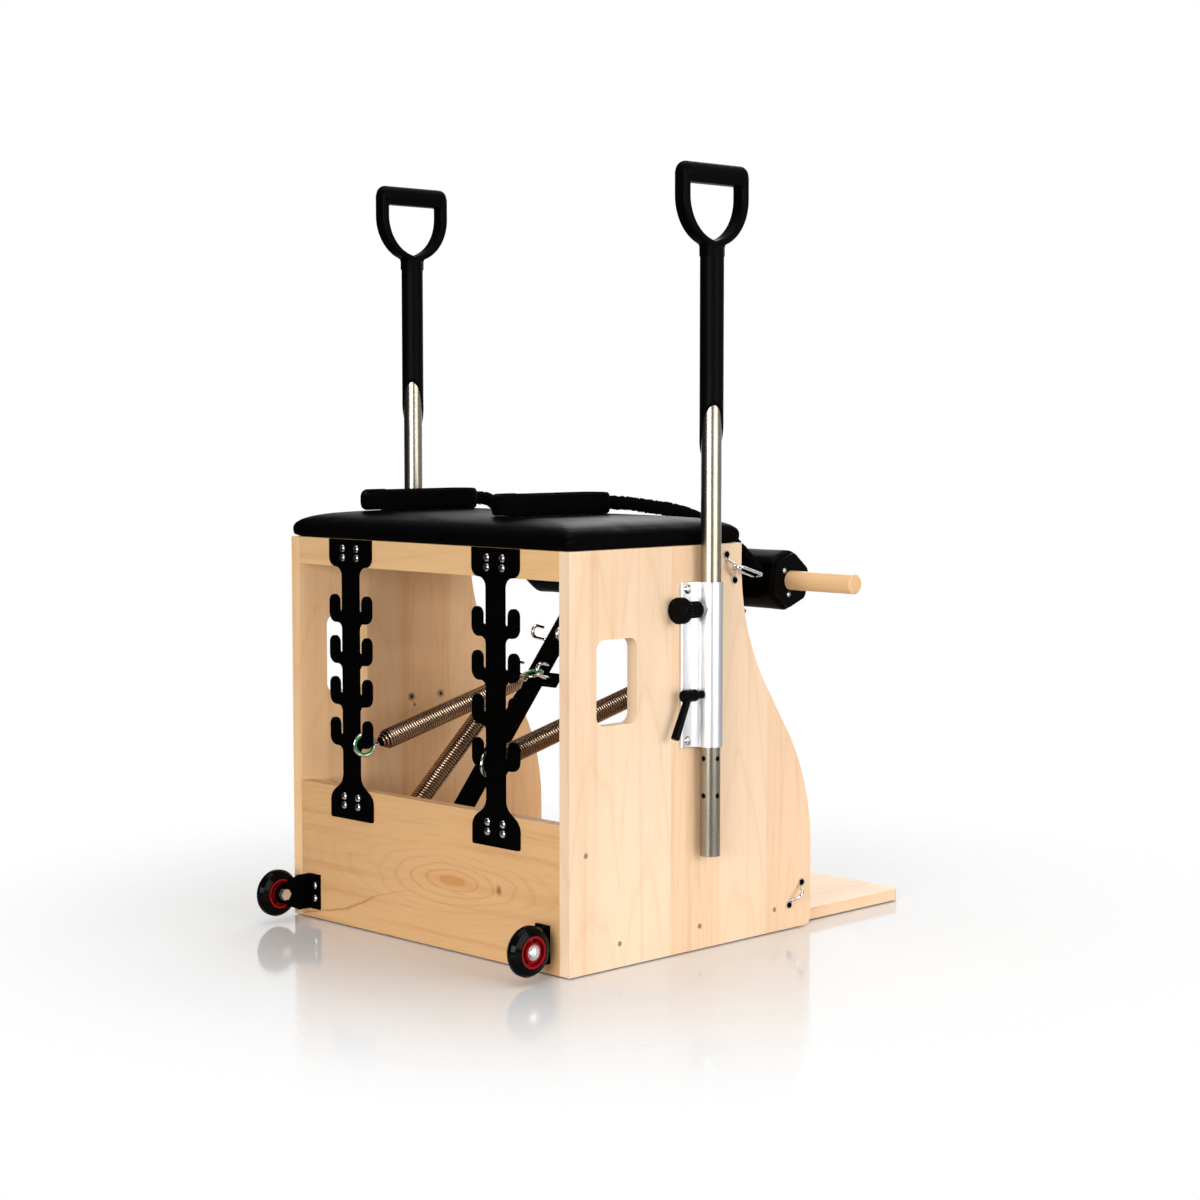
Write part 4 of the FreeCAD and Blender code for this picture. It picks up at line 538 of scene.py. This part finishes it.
# Springs
def coil(start, end):
    """Close-wound spring with drawn-in ends."""
    axis = (end - start).normalized()
    first, second = square_to(axis)
    length = (end - start).length - 2 * COIL_WIRE
    turns = round(length / COIL_PITCH)
    steps = turns * COIL_STEPS
    rings = []
    for step in range(steps + 1):
        turn = step / COIL_STEPS
        share = min(1.0, min(turn, turns - turn) / COIL_TAPER_TURNS)
        share = share * share * (3 - 2 * share)
        radius = COIL_END_RADIUS - COIL_WIRE + (COIL_RADIUS - COIL_END_RADIUS + COIL_WIRE) * share
        angle = 2 * math.pi * turn
        outward = first * math.cos(angle) + second * math.sin(angle)
        centre = start + axis * (COIL_WIRE + length * turn / turns) + outward * radius
        rings.append(circle(centre, outward, axis, COIL_WIRE, COIL_SIDES))
    return skin(rings)


def plug(end, out, eye_axis):
    """Black end fitting with the wire eye that takes a ring."""
    rings = turned_rings([(radius * MM, height * MM) for radius, height in PLUG_PROFILE], end, out)
    eye = torus_rings(end + out * (PLUG_OUT + EYE_RADIUS), eye_axis, EYE_RADIUS, EYE_WIRE, 28, 10)
    return skin(rings, caps=False), skin(eye, closed=True)


def add_ring(name, centre, axis, body):
    outer = torus_rings(centre, axis, RING_RADIUS, RING_WIRE, RING_STEPS)
    inner = torus_rings(centre, axis, SLEEVE_RADIUS, SLEEVE_WIRE, RING_STEPS)
    steel = piece(name, *skin(outer, closed=True), "ring_steel")
    sleeve = piece(name + "_sleeve", *skin(inner, closed=True), "green_plastic")
    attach(steel, body)
    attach(sleeve, body)
    return steel


def add_plug(name, end, out, eye_axis, body):
    body_mesh, eye_mesh = plug(end, out, eye_axis)
    fitting = piece(name, *body_mesh, "black_plastic")
    eye = piece(name + "_eye", *eye_mesh, "ring_steel")
    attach(fitting, body)
    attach(eye, body)


def reach_along(node, axis, origin):
    distances = [(vertex.co - origin).dot(axis) for vertex in NODES[node].data.vertices]
    return min(distances), max(distances)


def ring_to_coil():
    return PLUG_OUT + EYE_RADIUS + EYE_RADIUS - EYE_WIRE - RING_WIRE - LINK_SLACK


def add_working_spring(side):
    low = Vector(JOINTS["spring_swing_" + side]["pos_m"])
    axis = Vector(JOINTS["spring_stretch_" + side]["axis"]).normalized()
    across = Vector((1, 0, 0))
    lift = across.cross(axis)
    far = reach_along("spring_hook_ring_" + side, axis, low)[1]
    hook = low + axis * (far - RING_WIRE)
    start = low + axis * ring_to_coil()
    end = hook - axis * (2 * RING_RADIUS + ring_to_coil())
    spring_body, end_body = "spring_body_" + side, "spring_end_" + side
    spring = piece("spring_coil_" + side, *coil(start, end), "spring_steel")
    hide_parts("spring_" + side)
    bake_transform(spring)
    add_plug("spring_low_plug_" + side, start, -axis, lift, spring_body)
    add_plug("spring_high_plug_" + side, end, axis, across, end_body)
    ring = add_ring("spring_high_ring_" + side, hook - axis * RING_RADIUS, lift, end_body)
    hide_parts("spring_hook_ring_" + side)
    sign = 1.0 if side == "left" else -1.0
    turn = math.radians(RING_TURN)
    towards = Vector((-sign * math.sin(turn), -math.cos(turn), 0))
    ring_axis = towards.cross(Vector((0, 0, 1)))
    tree_ring = add_ring("spring_tree_ring_" + side, low - towards * RING_RADIUS, ring_axis, "frame")
    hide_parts("tree_spring_rings")


def add_parked_spring(side):
    node = "parked_spring_" + side
    low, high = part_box(node)
    middle = (low + high) / 2
    slope = math.radians(PARKED_SLOPE)
    down = Vector((0, math.cos(slope), -math.sin(slope)))
    across = Vector((1, 0, 0))
    lift = across.cross(down)
    first, last = reach_along(node, down, middle)
    side_low, side_high = reach_along(node, lift, middle)
    line = middle + lift * ((side_low + side_high) / 2)
    top = line + down * (first + RING_WIRE + RING_RADIUS)
    bottom = line + down * (last - RING_WIRE - RING_RADIUS)
    start = top + down * (RING_RADIUS + ring_to_coil())
    end = bottom - down * (RING_RADIUS + ring_to_coil())
    body = "pedal_" + side
    spring = piece("parked_coil_" + side, *coil(start, end), "spring_steel")
    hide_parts(node)
    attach(spring, body)
    add_plug("parked_top_plug_" + side, start, -down, across, body)
    add_plug("parked_low_plug_" + side, end, down, lift, body)
    add_ring("parked_top_ring_" + side, top, lift, body)
    add_ring("parked_low_ring_" + side, bottom, across, body)


# Soft goods
def inflate(obj, voxel, cap, clamp):
    """Swells a padded piece with a short pressure cloth run, holding each point within cap of where it was."""
    scene = bpy.context.scene
    remesh = obj.modifiers.new("remesh", "REMESH")
    remesh.mode = "VOXEL"
    remesh.voxel_size = voxel
    settle(obj)
    before = [vertex.co.copy() for vertex in obj.data.vertices]
    cloth = obj.modifiers.new("cloth", "CLOTH")
    cloth.settings.use_pressure = True
    cloth.settings.uniform_pressure_force = SWELL_PRESSURE
    cloth.settings.effector_weights.gravity = 0.0
    cloth.point_cache.frame_start = 1
    cloth.point_cache.frame_end = SWELL_FRAMES
    for step in range(1, SWELL_FRAMES + 1):
        scene.frame_set(step)
    settle(obj)
    scene.frame_set(1)
    for vertex, old in zip(obj.data.vertices, before):
        move = vertex.co - old
        if move.length > cap:
            move = move * (cap / move.length)
        vertex.co = clamp(old + move)
    smooth = obj.modifiers.new("smooth", "SMOOTH")
    smooth.factor = SWELL_SMOOTHING
    smooth.iterations = 2
    finer = obj.modifiers.new("finer", "SUBSURF")
    finer.levels = 1
    finer.render_levels = 1
    settle(obj)


def fit(obj, low, high):
    """Stretches a mesh a little so that it fills the box from low to high."""
    vertices = obj.data.vertices
    for axis in range(3):
        first = min(vertex.co[axis] for vertex in vertices)
        last = max(vertex.co[axis] for vertex in vertices)
        for vertex in vertices:
            vertex.co[axis] = low[axis] + (vertex.co[axis] - first) * (high[axis] - low[axis]) / (last - first)


def settle(obj):
    """Applies the modifiers of obj to its mesh."""
    graph = bpy.context.evaluated_depsgraph_get()
    mesh = bpy.data.meshes.new_from_object(obj.evaluated_get(graph))
    obj.modifiers.clear()
    looks = list(obj.data.materials)
    obj.data = mesh
    mesh.materials.clear()
    for look in looks:
        mesh.materials.append(look)
    for polygon in mesh.polygons:
        polygon.use_smooth = True


def seat_outline(low, high, inset, z):
    """Rounded rectangle with sides drawn in between the corners."""
    centre = (low + high) / 2
    half_x = (high.x - low.x) / 2 - inset
    half_y = (high.y - low.y) / 2 - inset
    radius = min(SEAT_CORNER + SEAT_CORNER_GROWTH * inset, half_x * 0.9, half_y * 0.9)
    corners = [Vector((x * (half_x - radius), y * (half_y - radius), 0))
               for x, y in ((1, 1), (-1, 1), (-1, -1), (1, -1))]
    points = []
    for quarter, corner in enumerate(corners):
        angle = math.pi / 2 * quarter
        for step in range(SEAT_CORNER_POINTS + 1):
            turn = angle + math.pi / 2 * step / SEAT_CORNER_POINTS
            points.append(corner + Vector((math.cos(turn), math.sin(turn), 0)) * radius)
        following = corners[(quarter + 1) % 4]
        outward = Vector((math.cos(angle + math.pi / 2), math.sin(angle + math.pi / 2), 0))
        for step in range(1, SEAT_EDGE_POINTS):
            share = step / SEAT_EDGE_POINTS
            draw = SEAT_DRAW_IN * (1 - (2 * share - 1) ** 2)
            points.append(corner.lerp(following, share) + outward * (radius - draw))
    return [Vector((centre.x + point.x, centre.y + point.y, z)) for point in points]


def add_seat():
    low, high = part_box("seat_cushion")
    thick = high.z - low.z
    rings = [seat_outline(low, high, inset * MM, low.z + rise * thick) for inset, rise in SEAT_SECTIONS]
    seat = piece("seat_pad", *skin(rings), "vinyl")
    inflate(seat, SEAT_VOXEL, SEAT_CAP,
            lambda co: Vector((min(max(co.x, low.x), high.x), min(max(co.y, low.y), high.y),
                               min(max(co.z, low.z), high.z))))
    fit(seat, low, high)
    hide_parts("seat_cushion")
    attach(seat, "frame")


def hexagon(flats, corner):
    """Six-sided outline with rounded corners, as (along, behind) pairs, with a flat square to along."""
    reach = flats / math.sqrt(3.0)
    round_reach = reach - corner / math.cos(math.pi / 6)
    points = []
    for k in range(6):
        angle = math.pi / 6 + math.pi / 3 * k
        for step in range(PAD_CORNER_STEPS + 1):
            turn = angle - math.pi / 6 + math.pi / 3 * step / PAD_CORNER_STEPS
            points.append((round_reach * math.cos(angle) + corner * math.cos(turn),
                           round_reach * math.sin(angle) + corner * math.sin(turn)))
        after = angle + math.pi / 3
        for step in range(1, PAD_SIDE_STEPS):
            share = step / PAD_SIDE_STEPS
            bulge = PAD_CROWN * (1 - (2 * share - 1) ** 2)
            turn = angle + math.pi / 6
            points.append((round_reach * (math.cos(angle) * (1 - share) + math.cos(after) * share)
                           + (corner + bulge) * math.cos(turn),
                           round_reach * (math.sin(angle) * (1 - share) + math.sin(after) * share)
                           + (corner + bulge) * math.sin(turn)))
    return points


def add_pad(side):
    node = "pedal_pad_" + side
    low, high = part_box(node)
    centre = (low + high) / 2
    angle = math.radians(ARM_ANGLE)
    along = Vector((0, -math.cos(angle), math.sin(angle)))
    behind = Vector((0, math.sin(angle), math.cos(angle)))
    rings = []
    for station in range(PAD_STATIONS + 1):
        share = station / PAD_STATIONS
        x = low.x + (high.x - low.x) * (0.5 - 0.5 * math.cos(math.pi * share))
        edge = min(x - low.x, high.x - x)
        inset = PAD_EDGE - math.sqrt(max(0.0, PAD_EDGE ** 2 - max(0.0, PAD_EDGE - edge) ** 2))
        outline = hexagon(PAD_FLATS - 2 * PAD_CROWN - 2 * inset, PAD_CORNER)
        rings.append([Vector((x, centre.y, centre.z)) + along * u + behind * v for u, v in outline])
    pad = piece("pad_" + side, *skin(rings), "vinyl")
    inflate(pad, PAD_VOXEL, PAD_CAP, lambda co: Vector((min(max(co.x, low.x), high.x), co.y, co.z)))
    fit(pad, low, high)
    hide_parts(node)
    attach(pad, "pedal_" + side)


def loop_line(low, high, inset):
    """Centre line of a flattened loop, as (point, outward) pairs."""
    half = (high.x - low.x) / 2 - inset
    middle = (low.x + high.x) / 2
    front, rear = low.y + inset + half, high.y - inset - half
    line = []
    for centre_y, start in ((rear, 0.0), (front, math.pi)):
        for step in range(LOOP_END_STEPS + 1):
            turn = start + math.pi * step / LOOP_END_STEPS
            outward = Vector((math.cos(turn), math.sin(turn), 0))
            line.append((Vector((middle, centre_y, 0)) + outward * half, outward))
        outward = Vector((math.cos(start + math.pi), 0, 0))
        far = front if centre_y == rear else rear
        for step in range(1, LOOP_SIDE_STEPS):
            along = centre_y + (far - centre_y) * step / LOOP_SIDE_STEPS
            line.append((Vector((middle, along, 0)) + outward * half, outward))
    return line


def add_loop(side):
    """Padded fabric loop: a flattened cuff, thicker and rounded where its rear end is folded back and sewn."""
    node = "strap_loop_" + side
    low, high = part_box(node)
    tall = high.z - low.z
    profile = []
    for face in (1, -1):
        for step in range(LOOP_STEPS + 1):
            share = step / LOOP_STEPS if face > 0 else 1 - step / LOOP_STEPS
            edge = min(share, 1 - share) * tall
            thick = LOOP_BAND / 2 * (1 - math.exp(-edge / LOOP_EDGE)) * LOOP_FILL + LOOP_THIN
            thick -= LOOP_STITCH_DEPTH * math.exp(-((edge - LOOP_STITCH_IN) / LOOP_STITCH_WIDTH) ** 2)
            profile.append((face * (thick + LOOP_BULGE * math.sin(math.pi * share)), share))
    rings = []
    for point, outward in loop_line(low, high, LOOP_BAND / 2):
        back = high.y - point.y
        front = point.y - low.y
        fold = 1.0 / (1.0 + math.exp((back - LOOP_FOLD) / LOOP_FOLD_EDGE))
        seam = math.exp(-((back - LOOP_FOLD - LOOP_BACK_SEAM) / LOOP_BACK_SEAM_WIDTH) ** 2)
        seam += math.exp(-((front - LOOP_FRONT_SEAM) / LOOP_FRONT_SEAM_WIDTH) ** 2)
        nose = max(0.0, 1.0 - back / LOOP_NOSE) ** 2
        lift = LOOP_NOSE_LIFT[side] * nose * tall
        drop = LOOP_NOSE_DROP[side] * nose * tall + 0.9 * MM * (1 - fold)
        sway = noise.noise(point * 22.0) * MM
        ring = []
        for out, share in profile:
            ripple = noise.noise(Vector((point.x, point.y, share * tall)) * 120.0) * 0.3 * MM
            swell = out * (1.0 + LOOP_FOLD_SWELL * fold - LOOP_SEAM_DEPTH * seam) + math.copysign(ripple, out)
            level = low.z + lift + share * (tall - lift - drop)
            ring.append(point + outward * (swell + sway) + Vector((0, 0, level)))
        rings.append(ring)
    band = piece("loop_" + side, *skin(rings, closed=True), "padded_fabric")
    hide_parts(node)
    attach(band, "frame")


def spline_points(points):
    """Points along the smooth route of a cord."""
    data = bpy.data.curves.new("route", "CURVE")
    data.dimensions = "3D"
    data.resolution_u = CORD_RESOLUTION
    spline = data.splines.new("NURBS")
    spline.points.add(len(points) - 1)
    for target, point in zip(spline.points, points):
        target.co = (*point, 1.0)
    spline.order_u = 3
    spline.use_endpoint_u = True
    holder = bpy.data.objects.new("route", data)
    bpy.context.scene.collection.objects.link(holder)
    bpy.context.view_layer.update()
    mesh = bpy.data.meshes.new_from_object(holder.evaluated_get(bpy.context.evaluated_depsgraph_get()))
    line = [vertex.co.copy() for vertex in mesh.vertices]
    bpy.data.objects.remove(holder)
    bpy.data.curves.remove(data)
    bpy.data.meshes.remove(mesh)
    return line


def evenly(line, spacing):
    """Points every spacing along a line."""
    result = [line[0]]
    carried = 0.0
    for before, after in zip(line, line[1:]):
        length = (after - before).length
        while carried + length >= spacing:
            share = (spacing - carried) / length
            before = before.lerp(after, share)
            length = (after - before).length
            carried = 0.0
            result.append(before)
        carried += length
    return result + [line[-1]]


def add_cord(side, route):
    """Ruched elastic sleeve along the route from the loop to the snap hook, with a drawn-in end."""
    points = [Vector((x, y, z)) * MM + Vector((0, CORD_REACH, CORD_LEVEL)) for x, y, z in route]
    line = evenly(spline_points(points), CORD_STEP)
    length = sum((b - a).length for a, b in zip(line, line[1:]))
    rings = []
    up = Vector((0, 0, 1))
    for index, point in enumerate(line):
        tangent = (line[min(index + 1, len(line) - 1)] - line[max(index - 1, 0)]).normalized()
        across = tangent.cross(up).normalized()
        over = across.cross(tangent)
        along = index * CORD_STEP / MM
        left = (len(line) - 1 - index) * CORD_STEP / CORD_RADIUS
        cap = math.sqrt(max(0.0, 1.0 - max(0.0, 1.0 - left) ** 2)) * (1 - CORD_END) + CORD_END
        ring = []
        for k in range(CORD_SIDES):
            angle = 2 * math.pi * k / CORD_SIDES
            outward = across * math.cos(angle) + over * math.sin(angle)
            bend = noise.noise(outward * 1.6 + Vector((along * 0.06, 0, 0)))
            phase = along / CORD_PLEAT + CORD_PLEAT_BEND * bend
            pleat = 0.5 + 0.5 * math.sin(2 * math.pi * phase)
            wander = noise.noise(outward * 1.9 + Vector((0, along * 0.10, 3.0)))
            radius = CORD_RADIUS * (CORD_CORE + CORD_SWELL * pleat ** 0.5 + CORD_WANDER * wander)
            ring.append(point + outward * (min(radius, CORD_RADIUS * CORD_MOST) * cap))
        rings.append(ring)
    cord = piece("cord_" + side, *skin(rings), "webbing")
    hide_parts("strap_cord_" + side)
    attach(cord, "frame")
    tuple(line[0])
    [tuple(point) for point in line]


# Handles
def add_pole_shade_core(side):
    """Black core inside a pole: painted shade in the hollow tube, seen through its holes."""
    sign = 1.0 if side == "left" else -1.0
    low, high = POLE_SPAN
    base = Vector((sign * POLE_PLACE[0], POLE_PLACE[1], 0))
    rings = turned_rings([(POLE_SHADE_CORE, low), (POLE_SHADE_CORE, high)], base, Vector((0, 0, 1)))
    # Black core standing for the shade inside the tube, painted shade
    core = piece("pole_shade_core_" + side, *skin(rings), "black_plastic")
    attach(core, "handle_" + side)


# Surroundings
def add_camera():
    azimuth, pitch = math.radians(CAMERA_AZIMUTH), math.radians(CAMERA_PITCH)
    level = math.cos(pitch)
    forward = Vector((-math.sin(azimuth) * level, math.cos(azimuth) * level, -math.sin(pitch)))
    data = bpy.data.cameras.new("camera")
    data.lens = CAMERA_LENS
    data.sensor_width = CAMERA_SENSOR
    data.clip_end = CAMERA_FAR
    camera = bpy.data.objects.new("camera", data)
    camera.location = CAMERA_PLACE
    camera.rotation_euler = forward.to_track_quat("-Z", "Y").to_euler()
    bpy.context.scene.collection.objects.link(camera)
    bpy.context.scene.camera = camera


def add_light(name, place, size, power):
    data = bpy.data.lights.new(name, "AREA")
    data.shape = "RECTANGLE"
    data.size, data.size_y = size
    data.energy = power
    light = bpy.data.objects.new(name, data)
    light.location = place
    light.rotation_euler = (Vector(LIGHT_AIM) - Vector(place)).to_track_quat("-Z", "Y").to_euler()
    bpy.context.scene.collection.objects.link(light)


def add_floor():
    """Pale glossy floor that thins out into the background."""
    corners = [(x * FLOOR_HALF, y * FLOOR_HALF, 0) for x, y in ((-1, -1), (1, -1), (1, 1), (-1, 1))]
    mesh = bpy.data.meshes.new("floor")
    mesh.from_pydata(corners, [], [(0, 1, 2, 3)])
    look = Look("floor", FLOOR_GREY, 0.1, IOR=FLOOR_IOR)
    look.rough(look.noise(3.0), 0.06, 0.12)
    reach = look.add("ShaderNodeVectorMath", {0: look.place}, operation="LENGTH").outputs["Value"]
    fade = look.span(reach, *FLOOR_FADE, curve="SMOOTHSTEP")
    clear = look.add("ShaderNodeBsdfTransparent")
    both = look.add("ShaderNodeMixShader", {0: fade, 1: look.shader.outputs[0], 2: clear.outputs[0]})
    output = [node for node in look.tree.nodes if node.type == "OUTPUT_MATERIAL"][0]
    look.tree.links.new(both.outputs[0], output.inputs["Surface"])
    mesh.materials.append(look.material)
    floor = bpy.data.objects.new("floor", mesh)
    floor.location.z = -FLOOR_DROP
    bpy.context.scene.collection.objects.link(floor)


def add_surroundings():
    """White backdrop, and a room that lights the object mainly from -X, from -Y and from above."""
    world = bpy.data.worlds.new("studio")
    world.use_nodes = True
    tree = world.node_tree
    add, link = tree.nodes.new, tree.links.new
    output = [node for node in tree.nodes if node.type == "OUTPUT_WORLD"][0]
    place = add("ShaderNodeTexCoord").outputs["Generated"]

    def lobe(direction, start, end, low, high):
        dot = add("ShaderNodeVectorMath")
        dot.operation = "DOT_PRODUCT"
        link(place, dot.inputs[0])
        dot.inputs[1].default_value = direction
        scale = add("ShaderNodeMapRange")
        scale.interpolation_type = "SMOOTHSTEP"
        link(dot.outputs["Value"], scale.inputs["Value"])
        set_span(scale, start, end, low, high)
        return scale.outputs["Result"]

    total, *others = [lobe(*shape) for shape in ROOM_LOBES]
    for other in others:
        joined = add("ShaderNodeMath")
        link(total, joined.inputs[0])
        link(other, joined.inputs[1])
        total = joined.outputs[0]
    room, white = add("ShaderNodeBackground"), add("ShaderNodeBackground")
    link(total, room.inputs["Strength"])
    room.inputs["Color"].default_value = (*WHITE, 1.0)
    white.inputs["Color"].default_value = (*WHITE, 1.0)
    mix = add("ShaderNodeMixShader")
    link(add("ShaderNodeLightPath").outputs["Is Camera Ray"], mix.inputs[0])
    link(room.outputs[0], mix.inputs[1])
    link(white.outputs[0], mix.inputs[2])
    link(mix.outputs[0], output.inputs["Surface"])
    bpy.context.scene.world = world
    bpy.context.scene.view_settings.view_transform = "Standard"


def add_stage():
    add_floor()
    add_surroundings()
    for light in LIGHTS:
        add_light(*light)


dress_nodes()
add_camera()
add_stage()
for side in SIDES:
    add_working_spring(side)
    add_parked_spring(side)
    add_pad(side)
    add_loop(side)
    add_pole_shade_core(side)
add_cord("left", CORD_FAR)
add_cord("right", CORD_NEAR)
add_seat()

bpy.context.view_layer.update()
